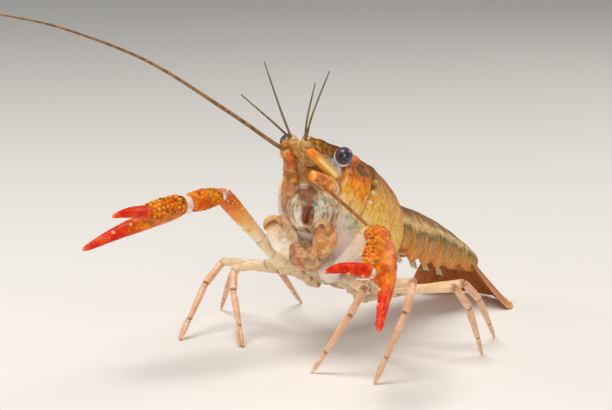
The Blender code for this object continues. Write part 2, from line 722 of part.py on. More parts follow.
def make_eye(side_name, cornea, shell, blockers):
    """An eye and its stalk."""
    centre = EYE_CENTRE[side_name]
    root = Vector(mirrored(STALK_ROOT, SIDES[side_name]))
    outward = (centre - root).normalized()
    bm = ball((0, 0, 0), (EYE_RADIUS,) * 3, across=20, along=14)
    turn = outward.to_track_quat("Z", "Y").to_matrix().to_4x4()
    bmesh.ops.transform(bm, matrix=Matrix.Translation(centre) @ turn, verts=bm.verts)
    cut = bmesh.ops.bisect_plane(
        bm,
        geom=bm.verts[:] + bm.edges[:] + bm.faces[:],
        plane_co=centre - outward * EYE_CUT,
        plane_no=-outward,
        clear_outer=True,
    )
    rim = [item for item in cut["geom_cut"] if isinstance(item, bmesh.types.BMEdge)]
    base = bmesh.ops.edgeloop_fill(bm, edges=rim)["faces"]
    bmesh.ops.poke(bm, faces=base)
    bmesh.ops.recalc_face_normals(bm, faces=bm.faces)
    bmesh.ops.triangulate(bm, faces=bm.faces)
    eye = as_object(f"eye_{side_name}", in_trunk(bm))
    dress(eye, cornea)

    end = centre - outward * (EYE_CUT + GAP)
    path = [root, root.lerp(end, 0.5), root.lerp(end, 0.8), end]
    stalk = as_object(
        f"eyestalk_{side_name}",
        in_trunk(tube(path, STALK_RADII, 16, (0, 0, 1))),
    )
    for blocker in blockers:
        cut_clear(stalk, blocker)
    dress(stalk, shell)
    return eye, stalk


# ------------------------------------------------------------------ antennae
def curve_points(points, count):
    """Evenly stepped points of a smooth curve through the given ones."""
    points = [Vector(p) for p in points]
    spans = len(points) - 1
    result = []
    for i in range(count):
        place = spans * i / (count - 1)
        k = min(int(place), spans - 1)
        t = place - k
        p1, p2 = points[k], points[k + 1]
        p0 = points[k - 1] if k > 0 else p1 * 2 - p2
        p3 = points[k + 2] if k + 2 <= spans else p2 * 2 - p1
        result.append(
            (p1 * 2 + (p2 - p0) * t + (p0 * 2 - p1 * 5 + p2 * 4 - p3) * t * t
             + (p1 * 3 - p0 - p2 * 3 + p3) * t * t * t) / 2
        )
    return result


def make_antenna(side_name, shell, blockers):
    """The antenna's stem, the scale beside it and its long flagellum in two lengths."""
    made = []
    base_path = [trunk_point(*p) for p in ANTENNA_BASE[side_name]]
    base = as_object(f"antenna_base_{side_name}", tube(base_path, ANTENNA_BASE_RADII, 14, (0, 0, 1)))
    for blocker in blockers:
        cut_clear(base, blocker)
    made.append(base)

    rib_root, rib_tip = (Vector(p) for p in SCALE_RIB[side_name])
    inward = Vector((0, -SIDES[side_name], 0))
    along = (rib_tip - rib_root).normalized()
    upward = along.cross(inward).normalized() * -SIDES[side_name]
    rings = []
    for share, thick, reach in SCALE_SECTIONS:
        rib = rib_root.lerp(rib_tip, share)
        ring = [
            rib - inward * thick,
            rib - inward * (thick * 0.6) + upward * thick * 0.8,
            rib + inward * (thick * 0.6) + upward * thick * 0.6,
            rib + inward * reach + upward * 0.25,
            rib + inward * (reach + 0.1) - upward * 0.25,
            rib + inward * (thick * 0.6) - upward * thick * 0.6,
            rib - inward * (thick * 0.6) - upward * thick * 0.8,
        ]
        rings.append(ring)
    scale = as_object(f"antenna_scale_{side_name}", in_trunk(loft(rings)))
    for blocker in [*blockers, base]:
        cut_clear(scale, blocker)
    made.append(scale)

    root = base_path[-1]
    out = (base_path[-1] - base_path[-2]).normalized()
    course = curve_points([root + out * GAP, *FLAGELLUM[side_name]], FLAGELLUM_POINTS)
    halfway = len(course) // 2
    for label, part in (("near", course[: halfway + 1]), ("far", course[halfway:])):
        near = label == "near"
        reach = len(part) - 1
        if not near:
            part = [part[0] + (part[1] - part[0]).normalized() * GAP, *part[1:]]
        first, last = FLAGELLUM_RADII[:2] if near else FLAGELLUM_RADII[1:]
        radii = [first + (last - first) * i / reach for i in range(reach + 1)]
        length = as_object(f"flagellum_{side_name}_{label}", tube(part, radii, 8, (0.3, 0.2, 1)))
        if near:
            cut_clear(length, base)
        made.append(length)

    for obj in made:
        dress(obj, shell)
    return made


def make_antennule(side_name, shell, blockers):
    """The short feeler between the antennae, with two threads on one stem."""
    path = ANTENNULE_BASE[side_name]
    stem = tube(path, ANTENNULE_BASE_RADII, 12, (0, 0, 1))
    obj = as_object(f"antennule_{side_name}", in_trunk(stem))
    threads = []
    tip = Vector(path[-1])
    for end in ANTENNULE_TIPS[side_name]:
        end = Vector(end)
        sink = tip - (tip - Vector(path[-2])).normalized() * 0.5
        knee = tip.lerp(end, 0.35) + Vector((0.5, 0, 0))
        course = curve_points([sink, knee, end], len(ANTENNULE_RADII))
        threads.append(in_trunk(tube(course, ANTENNULE_RADII, 6, (0, 1, 0.2))))
    for thread in threads:
        join(obj, [thread])
    for blocker in blockers:
        cut_clear(obj, blocker)
    dress(obj, shell)
    return obj


# ------------------------------------------------------------------ third maxillipeds
def make_maxilliped(side_name, shell, blockers):
    """The outermost mouthpart: a broad base and the palp that turns in over the mouth."""
    base_path, base_sizes = MAXILLIPED_BASE[side_name]
    palp_path = MAXILLIPED_PALP[side_name]
    joint = (Vector(base_path[-1]) - Vector(base_path[-2])).normalized()
    turn = (Vector(palp_path[1]) - Vector(palp_path[0])).normalized()
    plane = (joint + turn).normalized()
    base_path = [*base_path[:-1], Vector(base_path[-1]) - plane * GAP / 2]
    palp_path = [Vector(palp_path[0]) + plane * GAP / 2, *palp_path[1:]]
    base = as_object(
        f"maxilliped_{side_name}_base",
        in_trunk(tube(base_path, base_sizes, 14, (0, 0, 1), end_plane=plane)),
    )
    palp = as_object(
        f"maxilliped_{side_name}_palp",
        in_trunk(tube(palp_path, MAXILLIPED_PALP_RADII, 10, (0, 0, 1), start_plane=plane)),
    )
    for obj in (base, palp):
        for blocker in blockers:
            cut_clear(obj, blocker)
        dress(obj, shell)
    return base, palp


# ------------------------------------------------------------------ walking legs
def make_nipper(ankle, foot):
    """The fixed finger of a walking leg's small pincer, beside the movable one."""
    along = (foot - ankle).normalized()
    aside = along.cross(Vector((0, 0, 1))).normalized() * NIPPER_ASIDE
    path = [
        ankle - along * 0.7,
        ankle + along * 0.6 + aside * 0.8,
        ankle.lerp(foot, 0.6) + aside,
        ankle.lerp(foot, 0.92) + aside * 0.75,
    ]
    return tube(path, NIPPER_RADII, 6, (0.2, 1, 0.1))


def make_leg(side_name, pair, shell, blockers):
    """A walking leg in two nodes that meet at the knee."""
    side = SIDES[side_name]
    x = LEG_ROOT_X[pair]
    knee, foot_xy = LEG_STANCE[(side_name, pair)]
    knee = Vector(knee)
    foot = Vector((*foot_xy, 0))
    root = trunk_point(x, LEG_ROOT_Y * side, LEG_ROOT_Z)
    coxa = trunk_point(x, COXA_END_Y * side, LEG_ROOT_Z - COXA_DROP)
    thigh = (knee - coxa).normalized()
    wrist = knee.lerp(foot, WRIST_SHARE) + Vector((side * WRIST_BOW[0], 0, WRIST_BOW[1]))
    ankle = knee.lerp(foot, ANKLE_SHARE) + Vector((side * ANKLE_BOW[0], 0, ANKLE_BOW[1]))
    shin = (wrist - knee).normalized()
    plane = (thigh + shin).normalized()
    upper_path = [root, coxa, *[coxa.lerp(knee, share) for share, _ in THIGH], knee - plane * GAP / 2]
    upper_sizes = [COXA_RADIUS, COXA_RADIUS, *[radius for _, radius in THIGH], KNEE_RADIUS]
    upper = as_object(
        f"leg_{side_name}_{pair}_upper",
        tube(upper_path, upper_sizes, 10, (0, 0, 1), end_plane=plane),
    )
    for blocker in blockers:
        cut_clear(upper, blocker)
    lower_path = [
        knee + plane * GAP / 2,
        knee.lerp(wrist, 0.3),
        knee.lerp(wrist, 0.85),
        wrist,
        wrist.lerp(ankle, 0.15),
        wrist.lerp(ankle, 0.7),
        ankle,
        ankle.lerp(foot, 0.6),
        foot,
    ]
    lower = as_object(
        f"leg_{side_name}_{pair}_lower",
        tube(lower_path, SHIN_RADII, 9, (0.2, 1, 0.1), start_plane=plane, end_plane=(0, 0, -1)),
    )
    if pair in NIPPER_PAIRS:
        join(lower, [make_nipper(ankle, foot)])
    dress(upper, shell)
    dress(lower, shell)
    return upper, lower


# ------------------------------------------------------------------ chelipeds
def section_spikes(spec, table, seat, way, first, second, stretch=1):
    """A row of spikes on a tapering piece whose sections are half depths and half thicknesses."""
    degrees, start, end, count, reach, radius = spec
    shifts = [(line[0], line[1]) for line in table]
    depths = [(line[0], line[2]) for line in table]
    thicks = [(line[0], line[3]) for line in table]
    angle = math.radians(degrees)
    spikes = []
    for along in row(start, end, count):
        depth, thick = smooth(depths, along), smooth(thicks, along)
        centre = seat(along) + way * (along * stretch)
        offset = smooth(shifts, along)
        place = centre + first * (offset + depth * math.cos(angle)) + second * (thick * math.sin(angle))
        outward = first * (math.cos(angle) / depth) + second * (math.sin(angle) / thick)
        spikes.append(spike(place, outward, reach, radius))
    return spikes


def round_spikes(start, end, spots, radius, towards, foot_radius):
    """Spikes round a straight piece; a spot is share along, degrees from towards, and reach."""
    way = (end - start).normalized()
    towards = (towards - way * towards.dot(way)).normalized()
    aside = way.cross(towards)
    spikes = []
    for share, degrees, reach in spots:
        angle = math.radians(degrees)
        outward = towards * math.cos(angle) + aside * math.sin(angle)
        place = start.lerp(end, share) + outward * (radius - SPIKE_SINK * 0.3)
        spikes.append(spike(place, outward + way * 0.3, reach, foot_radius))
    return spikes


def sections(start, end, table, start_inset, end_inset):
    """Path and sizes of a straight arm piece whose two ends are set in by half a gap."""
    path = [start.lerp(end, share) for share, _ in table]
    path[0] = start + start_inset * (GAP / 2)
    path[-1] = end - end_inset * (GAP / 2)
    return path, [size for _, size in table]


def make_cheliped(side_name, shell, claw, blockers):
    """A claw arm: its root, merus, carpus, hand with the fixed finger, and movable finger."""
    side = SIDES[side_name]
    stance = CHELIPED_STANCE[side_name]
    elbow, wrist, tip = (Vector(stance[key]) for key in ("elbow", "wrist", "tip"))
    root = trunk_point(CHELIPED_ROOT[0], CHELIPED_ROOT[1] * side, CHELIPED_ROOT[2])
    coxa = trunk_point(CHELIPED_ROOT[0] + 0.6, (CHELIPED_ROOT[1] + 1.9) * side, CHELIPED_ROOT[2] - 0.3)
    arm = (elbow - coxa).normalized()
    knuckle = coxa.lerp(elbow, KNUCKLE_SHARE)
    carpus_way = (wrist - elbow).normalized()
    hand_way = (tip - wrist).normalized()
    elbow_plane = (arm + carpus_way).normalized()
    wrist_plane = (carpus_way + hand_way).normalized()

    base = as_object(
        f"cheliped_{side_name}_base",
        tube(
            [root, coxa, coxa.lerp(knuckle, 0.35), coxa.lerp(knuckle, 0.75), knuckle - arm * GAP / 2],
            ARM_ROOT_RADII,
            12,
            (0, 0, 1),
            end_plane=arm,
        ),
    )
    for blocker in blockers:
        cut_clear(base, blocker)
    path, sizes = sections(knuckle, elbow, MERUS_SECTIONS, arm, elbow_plane)
    merus = as_object(
        f"cheliped_{side_name}_merus",
        tube(path, sizes, 14, (0, 0, 1), start_plane=arm, end_plane=elbow_plane),
    )
    path, sizes = sections(elbow, wrist, CARPUS_SECTIONS, elbow_plane, wrist_plane)
    carpus = as_object(
        f"cheliped_{side_name}_carpus",
        tube(path, sizes, 14, (0, 0, 1), start_plane=elbow_plane, end_plane=wrist_plane),
    )

    opening = Vector(stance["opening"])
    opening = (opening - hand_way * opening.dot(hand_way)).normalized()
    breadth = hand_way.cross(opening).normalized()
    rings = []
    for along, shift, depth, thick in HAND:
        arch = stance["bow"] * math.sin(math.pi * along / HAND_LENGTH)
        centre = wrist + hand_way * along + opening * (arch - shift)
        rings.append(oval_ring(centre, opening, breadth, depth, thick, 16))
    centre = wrist + wrist_plane * GAP / 2
    first = oval_ring(centre, opening, breadth, HAND[0][2], HAND[0][3], 16)
    rings[0] = [p - hand_way * ((p - centre).dot(wrist_plane) / hand_way.dot(wrist_plane)) for p in first]
    hand = as_object(f"cheliped_{side_name}_hand", loft(rings))
    hand_table = [(line[0], -line[1], line[2], line[3]) for line in HAND]

    def hand_seat(along):
        return wrist + opening * (stance["bow"] * math.sin(math.pi * along / HAND_LENGTH))

    spikes = []
    for spec in (*PALM_SPIKES, FIXED_TEETH):
        spikes += section_spikes(spec, hand_table, hand_seat, hand_way, opening, breadth)
    join(hand, spikes)

    arch = stance["bow"] * math.sin(math.pi * FINGER_ROOT / HAND_LENGTH)
    seat = wrist + hand_way * FINGER_ROOT + opening * (FINGER_SEAT + arch)
    reach = Vector(stance["finger tip"]) - seat
    finger_way = reach.normalized()
    stretch = reach.length / FINGER[-1][0]
    outward = (opening - finger_way * opening.dot(finger_way)).normalized()
    breadth = finger_way.cross(outward).normalized()
    rings = []
    for along, bow, depth, thick in FINGER:
        centre = seat + finger_way * (along * stretch) + outward * bow
        rings.append(oval_ring(centre, outward, breadth, depth, thick, 14))
    finger = as_object(f"cheliped_{side_name}_finger", loft(rings))
    teeth = section_spikes(
        MOVING_TEETH, FINGER, lambda along: seat, finger_way, outward, breadth, stretch
    )
    join(finger, teeth)
    cut_clear(finger, hand)

    above = [(share, 0, reach) for share, reach in MERUS_ABOVE]
    below = [(share, degrees, MERUS_REACH) for share in row(*MERUS_BELOW) for degrees in MERUS_BELOW_DEGREES]
    join(merus, round_spikes(knuckle, elbow, above + below, MERUS_RADIUS, Vector((0, 0, 1)), MERUS_FOOT))
    for share, degrees, reach, foot_radius in CARPUS_SPIKES:
        spot = [(share, degrees, reach)]
        join(carpus, round_spikes(elbow, wrist, spot, CARPUS_RADIUS, opening, foot_radius))
    cut_clear(hand, carpus)

    for obj in (base, merus, carpus):
        dress(obj, shell)
    for obj in (hand, finger):
        dress(obj, claw)
    return base, merus, carpus, hand, finger


# ------------------------------------------------------------------ abdomen and tail fan
def abdomen_frames():
    """For each joint of the abdomen its dorsal point and the directions back, left and up."""
    place = trunk_point(*ABDOMEN_START)
    frames = []
    for length, *_, slope, turn in ABDOMEN:
        slope, turn = math.radians(slope), math.radians(turn)
        back = Vector((
            math.sin(turn) * math.cos(slope),
            math.cos(turn) * math.cos(slope),
            -math.sin(slope),
        ))
        left = Vector((math.cos(turn), -math.sin(turn), 0))
        roll = math.radians(TRUNK_ROLL) * (1 - len(frames) / len(ABDOMEN))
        left = Matrix.Rotation(roll, 3, back) @ left
        up = back.cross(left).normalized() * -1
        frames.append((place.copy(), back, left, up))
        place += back * length
    frames.append((place.copy(), back, left, up))
    return frames


def abdomen_ring(centre, left, up, half, depth, pleuron):
    """Cross-section: a dorsal arch, the pleura hanging at its sides and a shallow belly."""
    profile = []
    for step in range(7):
        angle = math.pi / 2 * step / 6
        profile.append((half * math.sin(angle) ** 0.9, -0.8 * depth * (1 - math.cos(angle) ** 0.8)))
    side_z = -0.8 * depth
    profile.append((half * 0.97, side_z - pleuron * 0.6))
    profile.append((half * 0.9, side_z - pleuron))
    profile.append((half * 0.8, side_z - pleuron * 0.5))
    profile.append((half * 0.6, -depth * 0.95))
    profile.append((0, -depth))
    points = [centre + left * y + up * z for y, z in profile]
    return points + [centre - left * y + up * z for y, z in profile[-2:0:-1]]


def make_swimmerets(place, end, back, left, up, half, depth):
    """A pair of flat swimmerets under a segment, sloping down and back."""
    made = []
    for side in SIDES.values():
        root = place.lerp(end, 0.42) + left * (half * SWIMMERET_OUT * side) - up * (depth * SWIMMERET_DOWN)
        way = (back * 0.75 - up * 0.65 + left * (0.12 * side)).normalized()
        path = [root, *[root + way * (SWIMMERET_LENGTH * share) for share in (0.35, 0.7, 1)]]
        made.append(tube(path, SWIMMERET_SIZES, 6, up))
    return made


def make_abdomen(shell, carapace):
    """The six segments, each cut clear of the one before, and the frame at the last one's end."""
    frames = abdomen_frames()
    made = []
    for index, (length, half, depth, pleuron, _, _) in enumerate(ABDOMEN):
        place, back, left, up = frames[index]
        end, _, next_left, next_up = frames[index + 1]
        following = ABDOMEN[index + 1] if index + 1 < len(ABDOMEN) else AFTER_ABDOMEN
        next_half, next_depth = following[1:3]
        rings = []
        for share, drop in PLEURON_DROP:
            blend = share * 0.5
            ring_half = half + (next_half - half) * blend
            ring_depth = depth + (next_depth - depth) * blend
            middle = place.lerp(end, share)
            ring_left = left.lerp(next_left, share * 0.5).normalized()
            ring_up = up.lerp(next_up, share * 0.5).normalized()
            if share == 0 and index > 0:
                ring_left = (left + frames[index - 1][2]).normalized()
                ring_up = (up + frames[index - 1][3]).normalized()
            lift = SEGMENT_ARCH * math.sin(share * math.pi)
            if share == 0:
                middle = middle + back * GAP / 2
            if share == 1:
                middle = middle - back * GAP / 2
            middle = middle + ring_up * lift
            hang = pleuron * drop
            rings.append(abdomen_ring(middle, ring_left, ring_up, ring_half + lift, ring_depth, hang))
        obj = as_object(f"abdomen_{index + 1}", loft(rings))
        if index in SWIMMERET_SEGMENTS:
            join(obj, make_swimmerets(place, end, back, left, up, half, depth))
        if index == 0:
            cut_clear(obj, carapace)
        if made:
            cut_clear(obj, made[-1])
        dress(obj, shell)
        made.append(obj)
    return made, frames[-1]


def make_fan_blade(name, side, blade, hub, heading, shell):
    """A blade with a raised midrib that falls from its root and lies flat on the floor at its rim."""
    to_side, forward, turn, length, half_width = blade
    back = Vector((math.sin(heading), math.cos(heading), 0))
    left = Vector((math.cos(heading), -math.sin(heading), 0))
    direction = heading + math.radians(turn) * side
    way = Vector((math.sin(direction), math.cos(direction), 0))
    across = Vector((math.cos(direction), -math.sin(direction), 0))
    root = hub + left * (to_side * side) - back * forward
    rings = []
    for share, width in FAN_OUTLINE:
        height = root.z * max(0, 1 - share / FAN_FLAT) ** 1.1
        middle = Vector((root.x, root.y, height)) + way * (share * length)
        thick = FAN_THICKNESS * (1 - 0.45 * share)
        upper, lower = [], []
        for step in range(7):
            place = -1 + 2 * step / 6
            point = middle + across * (half_width * width * place)
            rib = FAN_RIB * max(0, 1 - abs(place) * 1.6) * (1 - share * 0.6)
            upper.append(point + Vector((0, 0, thick + rib)))
            lower.append(point)
        rings.append(upper + lower[::-1])
    obj = as_object(name, loft(rings))
    dress(obj, shell)
    return obj


def make_tail_fan(shell, frame, last_segment):
    """Telson and uropods, spread on the floor."""
    place, back, _, up = frame
    heading = math.atan2(back.x, back.y)
    hub = place - up * FAN_ROOT_DROP - back * FAN_ROOT_FORWARD
    made = [make_fan_blade("telson", LEFT, FAN_BLADES["telson"], hub, heading, shell)]
    for name in ("inner", "outer"):
        for side_name, side in SIDES.items():
            made.append(
                make_fan_blade(f"uropod_{side_name}_{name}", side, FAN_BLADES[name], hub, heading, shell)
            )
    for i, obj in enumerate(made):
        cut_clear(obj, last_segment)
        for earlier in made[:i]:
            cut_clear(obj, earlier)
    return made


def clear_scene():
    for obj in list(bpy.data.objects):
        bpy.data.objects.remove(obj)


def set_down():
    """Scale from millimetres to metres, centre the box over the origin and parent to one empty."""
    objects = [o for o in bpy.data.objects if o.type == "MESH"]
    corners = [v.co for o in objects for v in o.data.vertices]
    low = Vector([min(c[i] for c in corners) for i in range(3)])
    high = Vector([max(c[i] for c in corners) for i in range(3)])
    shift = -Vector(((low.x + high.x) / 2, (low.y + high.y) / 2, low.z))
    animal = bpy.data.objects.new("crayfish", None)
    bpy.context.collection.objects.link(animal)
    for obj in objects:
        middle = sum((v.co for v in obj.data.vertices), Vector()) / len(obj.data.vertices)
        obj.data.transform(Matrix.Scale(METRES_PER_MM, 4) @ Matrix.Translation(-middle))
        obj.location = (middle + shift) * METRES_PER_MM
        obj.parent = animal
    return shift


def main():
    clear_scene()
    shell, pale, claw, limb, horn, cornea = (finish(*line) for line in FINISHES)

    carapace = make_carapace(shell)
    sternum = make_sternum(pale)
    face = make_face(pale, carapace, sternum)
    trunk = [carapace, sternum, face]
    for side_name in SIDES:
        make_eye(side_name, cornea, pale, (carapace, face))
        antenna = make_antenna(side_name, horn, (carapace, face))
        make_antennule(side_name, horn, (carapace, face, *antenna))
        mouthpart = make_maxilliped(side_name, pale, trunk)
        make_cheliped(side_name, limb, claw, (*trunk, *mouthpart))
        for pair in LEG_ROOT_X:
            make_leg(side_name, pair, limb, trunk)
    segments, end_frame = make_abdomen(shell, carapace)
    make_tail_fan(shell, end_frame, segments[-1])
    print("box centre moved by, mm:", set_down())


main()
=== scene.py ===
"""Looks of the rearing red swamp crayfish: fine shells, spines, bristles and finishes over its solids.

Lengths are millimetres until a piece is put in place. Stance frame: level, the animal faces -Y and
its left side is +X. Trunk frame: x forward along the body, y left, z up from its mid height.
"""

import math
import random
from math import atan2, copysign, cos, exp, hypot, pi, radians, sin, sqrt

import bmesh
import bpy
from mathutils import Matrix, Vector, noise


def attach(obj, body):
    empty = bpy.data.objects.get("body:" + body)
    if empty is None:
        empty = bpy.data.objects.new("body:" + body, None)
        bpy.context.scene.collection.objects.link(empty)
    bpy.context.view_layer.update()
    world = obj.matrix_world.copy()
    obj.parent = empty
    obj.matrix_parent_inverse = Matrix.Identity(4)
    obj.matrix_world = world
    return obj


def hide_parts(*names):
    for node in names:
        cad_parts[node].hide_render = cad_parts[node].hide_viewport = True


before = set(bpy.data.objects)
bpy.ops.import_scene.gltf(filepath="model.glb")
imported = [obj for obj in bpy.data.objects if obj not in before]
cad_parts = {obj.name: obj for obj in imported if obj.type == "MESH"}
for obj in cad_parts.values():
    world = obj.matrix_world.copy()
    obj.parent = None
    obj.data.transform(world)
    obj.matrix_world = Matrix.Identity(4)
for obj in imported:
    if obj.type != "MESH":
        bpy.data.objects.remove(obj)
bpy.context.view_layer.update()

METRES_PER_MM = 0.001
STANCE_ORIGIN = Vector((15.6456, 10.1299, 0.0))  # in the row frame, mm
SIDES = {"left": 1, "right": -1}
UP = Vector((0, 0, 1))

# ---- trunk
TRUNK_ROLL = 11.5  # degrees, its left side up
TRUNK = (
    Matrix.Translation((-3.3, 0.8, 14.6))
    @ Matrix.Rotation(radians(5 - 90), 4, "Z")
    @ Matrix.Rotation(radians(-27.7), 4, "Y")
    @ Matrix.Rotation(radians(-TRUNK_ROLL), 4, "X")
)
REAR_X, BROW_X, BROW_SLOPE = 2.2, 31.5, 0.47
HALF_WIDTH = ((2.2, 6.7), (6, 7.6), (11.5, 8.0), (17, 7.9), (22.8, 7.1), (27.5, 6.0), (31.5, 4.5))
TOP = ((2.2, 8.0), (7.8, 9.1), (13.4, 9.4), (19, 9.1), (24.6, 8.0), (31.5, 6.3))
BOTTOM = ((2.2, 6.2), (6.9, 8.3), (13.4, 9.0), (19, 8.8), (23.7, 7.6), (27.4, 5.8), (31.5, 3.2))
TOP_POWER, BOTTOM_POWER = 2.2, 2.5
GROOVE = ((0, 15.3), (50, 20.6), (90, 22.6), (125, 24.2), (150, 23.5), (180, 20.0))
SHOULDER_X, SHOULDER_DEGREES, SHOULDER_HEIGHT = 25.2, 27, 0.85  # the swelling behind each eye
ROSTRUM_HALF_WIDTH = ((26.5, 3.6), (31, 3.5), (33.5, 2.5), (35.2, 1.5), (35.6, 0.8), (36.8, 0.25))
ROSTRUM_TOP = ((26.5, 6.7), (31, 6.7), (34, 6.2), (36.8, 6.1))
EYE_CENTRE = {"left": Vector((33.4, 5.25, 5.35)), "right": Vector((33.3, -4.6, 5.1))}
STALK_ROOT, EYE_RADIUS = Vector((30.9, 3.1, 4.0)), 1.45


# ---- curves
def rail(rows, t):
    """Smooth values at t through rows of (t, value, ...)."""
    if t <= rows[0][0]:
        return list(rows[0][1:])
    if t >= rows[-1][0]:
        return list(rows[-1][1:])
    last = len(rows) - 1
    i = next(k for k in range(last) if t <= rows[k + 1][0])
    before, start, end, after = (rows[min(max(k, 0), last)] for k in (i - 1, i, i + 1, i + 2))
    width = end[0] - start[0]
    s = (t - start[0]) / width
    values = []
    for v in range(1, len(start)):
        chord = (end[v] - start[v]) / width
        slope0 = slope1 = chord
        if i > 0:
            slope0 = (chord + (start[v] - before[v]) / (start[0] - before[0])) / 2
        if i + 2 <= last:
            slope1 = (chord + (after[v] - end[v]) / (after[0] - end[0])) / 2
        values.append(
            start[v] * (1 + 2 * s) * (1 - s) ** 2
            + end[v] * s * s * (3 - 2 * s)
            + slope0 * width * s * (1 - s) ** 2
            - slope1 * width * s * s * (1 - s)
        )
    return values


def smooth(table, x):
    return rail(table, x)[0]


def hill(value, middle, width):
    """1 at the middle, falling away to both sides."""
    return exp(-(((value - middle) / width) ** 2))


def ease(value, low, high):
    """0 at low, 1 at high, smooth between."""
    t = min(max((value - low) / (high - low), 0), 1)
    return t * t * (3 - 2 * t)


def course(points):
    """Rows of (distance, x, y, z) for a path."""
    rows, distance = [], 0.0
    for i, point in enumerate(points):
        point = Vector(point)
        if i:
            distance += (point - Vector(rows[-1][1:])).length
        rows.append((distance, *point))
    return rows


def point_at(rows, share):
    """Point of a course at a share of its length."""
    return Vector(rail(rows, rows[-1][0] * share))


def loop_points(points, count):
    """Evenly spaced points of the smooth closed path through the given ones."""
    rows = course([*points, points[0]])
    return [point_at(rows, k / count) for k in range(count)]


def round_way(way, first, turn):
    """The direction at an angle round a way, from the first one at right angles to it."""
    return first * cos(turn) + way.cross(first) * sin(turn)


def square_to(way, direction):
    """The direction at right angles to a way that is nearest to a given one."""
    return (direction - way * direction.dot(way)).normalized()


def trunk_point(x, y, z):
    return TRUNK @ Vector((x, y, z))


# ---- skins
class Batch:
    """Skins gathered for one piece. Every vertex carries a mark for the finishes to read."""

    FULL = 2500  # vertices, above which what is gathered is set aside

    def __init__(self):
        self.set_aside = []
        self.bm = self.fresh()

    @staticmethod
    def fresh():
        bm = bmesh.new()
        bm.verts.layers.float_vector.new("mark")
        return bm

    def label(self, verts, mark):
        layer = self.bm.verts.layers.float_vector["mark"]
        for vert in verts:
            vert[layer] = mark

    def rest(self, least=0):
        if len(self.bm.verts) > least:
            mesh = bpy.data.meshes.new("batch")
            self.bm.to_mesh(mesh)
            self.bm.free()
            self.set_aside.append(mesh)
            self.bm = self.fresh()

    def gathered(self):
        """Everything in one bmesh."""
        self.rest()
        for mesh in self.set_aside:
            self.bm.from_mesh(mesh)
            bpy.data.meshes.remove(mesh)
        self.set_aside = []
        return self.bm


def skin(batch, rows):
    """A closed skin over rows of (point, mark) pairs; a row of equal points makes a pole."""
    batch.rest()
    bm = batch.bm
    layer = bm.verts.layers.float_vector["mark"]
    across, lengthwise = len(rows[0]), len(rows) - 1
    verts = bmesh.ops.create_grid(bm, x_segments=across, y_segments=lengthwise, size=1)["verts"]
    for vert in verts:
        column = round((vert.co.x + 1) / 2 * across) % across
        row = round((vert.co.y + 1) / 2 * lengthwise)
        vert.co, vert[layer] = rows[row][column]
    bmesh.ops.remove_doubles(bm, verts=verts, dist=1e-4)


def add_ends(rows, share=0.0):
    """Repeat a skin's first and last rings, drawn in to a share of their size; 0 makes poles."""
    for index, ring in ((0, rows[0]), (len(rows) + 1, rows[-1])):
        centre = sum((point for point, _ in ring), Vector()) / len(ring)
        rows.insert(index, [(centre + (point - centre) * share, mark) for point, mark in ring])


def stations(length, step, first_round, last_round):
    """Distances along a piece, closer together where its ends round off."""
    places = [first_round * (1 - cos(pi / 2 * k / 5)) for k in range(5)]
    body = max(2, round((length - first_round - last_round) / step))
    places += [first_round + (length - first_round - last_round) * k / body for k in range(body + 1)]
    places += [length - last_round * (1 - sin(pi / 2 * k / 5)) for k in range(1, 6)]
    return places


def end_scale(distance, length, first_round, last_round):
    """How far an end's rounding draws a section in."""
    share = 1.0
    if distance < first_round:
        share = sqrt(max(0, 1 - ((first_round - distance) / first_round) ** 2))
    elif distance > length - last_round:
        share = sqrt(max(0, 1 - ((distance - length + last_round) / last_round) ** 2))
    return share


def limb(batch, path, sizes, upward=UP, sides=20, step=0.3, rounds=(0.3, 0.3), grain=0.0, tag=0.0):
    """A rounded tube along a path; sizes are radii or (across, up) pairs at its points.

    Marks: share of the length, height round the section from -1 to 1, tag.
    """
    pairs = [size if isinstance(size, tuple) else (size, size) for size in sizes]
    rows = [(*row, *pair) for row, pair in zip(course(path), pairs)]
    length = rows[-1][0]
    made = []
    for distance in stations(length, step, *rounds):
        x, y, z, half_across, half_up = rail(rows, distance)
        centre = Vector((x, y, z))
        ahead = Vector(rail(rows, min(distance + 0.05, length))[:3])
        behind = Vector(rail(rows, max(distance - 0.05, 0))[:3])
        way = (ahead - behind).normalized()
        across = way.cross(Vector(upward)).normalized()
        normal = across.cross(way).normalized()
        scale = end_scale(distance, length, *rounds)
        ring = []
        for i in range(sides):
            angle = 2 * pi * i / sides
            cosine, sine = cos(angle), sin(angle)
            swell = scale * (1 + grain * noise.noise(Vector((distance * 1.5, cosine, sine))))
            offset = across * (half_across * cosine) + normal * (half_up * sine)
            ring.append((centre + offset * swell, (distance / length, sine, tag)))
        made.append(ring)
    for end in (0, -1):
        x, y, z = rail(rows, 0 if end == 0 else length)[:3]
        made[end] = [(Vector((x, y, z)), mark) for _, mark in made[end]]
    skin(batch, made)


def facing(place, outward):
    """The frame of a place whose z looks outward."""
    turn = Vector(outward).normalized().to_track_quat("Z", "Y")
    return Matrix.Translation(place) @ turn.to_matrix().to_4x4()


def knob(batch, place, outward, radius, reach, mark, lean=None):
    """A rounded tubercle, a few dozen faces."""
    batch.rest(Batch.FULL)
    matrix = facing(place, outward if lean is None else Vector(outward).normalized() + lean)
    matrix = matrix @ Matrix.Diagonal((radius, radius, reach, 1))
    made = bmesh.ops.create_uvsphere(batch.bm, u_segments=8, v_segments=5, radius=1, matrix=matrix)
    batch.label(made["verts"], mark)


def cone(batch, root, way, radii, reach, sides, mark):
    batch.rest(Batch.FULL)
    way = Vector(way).normalized()
    made = bmesh.ops.create_cone(
        batch.bm,
        cap_ends=True,
        segments=sides,
        radius1=radii[0],
        radius2=radii[1],
        depth=reach,
        matrix=facing(Vector(root) + way * reach / 2, way),
    )
    batch.label(made["verts"], mark)


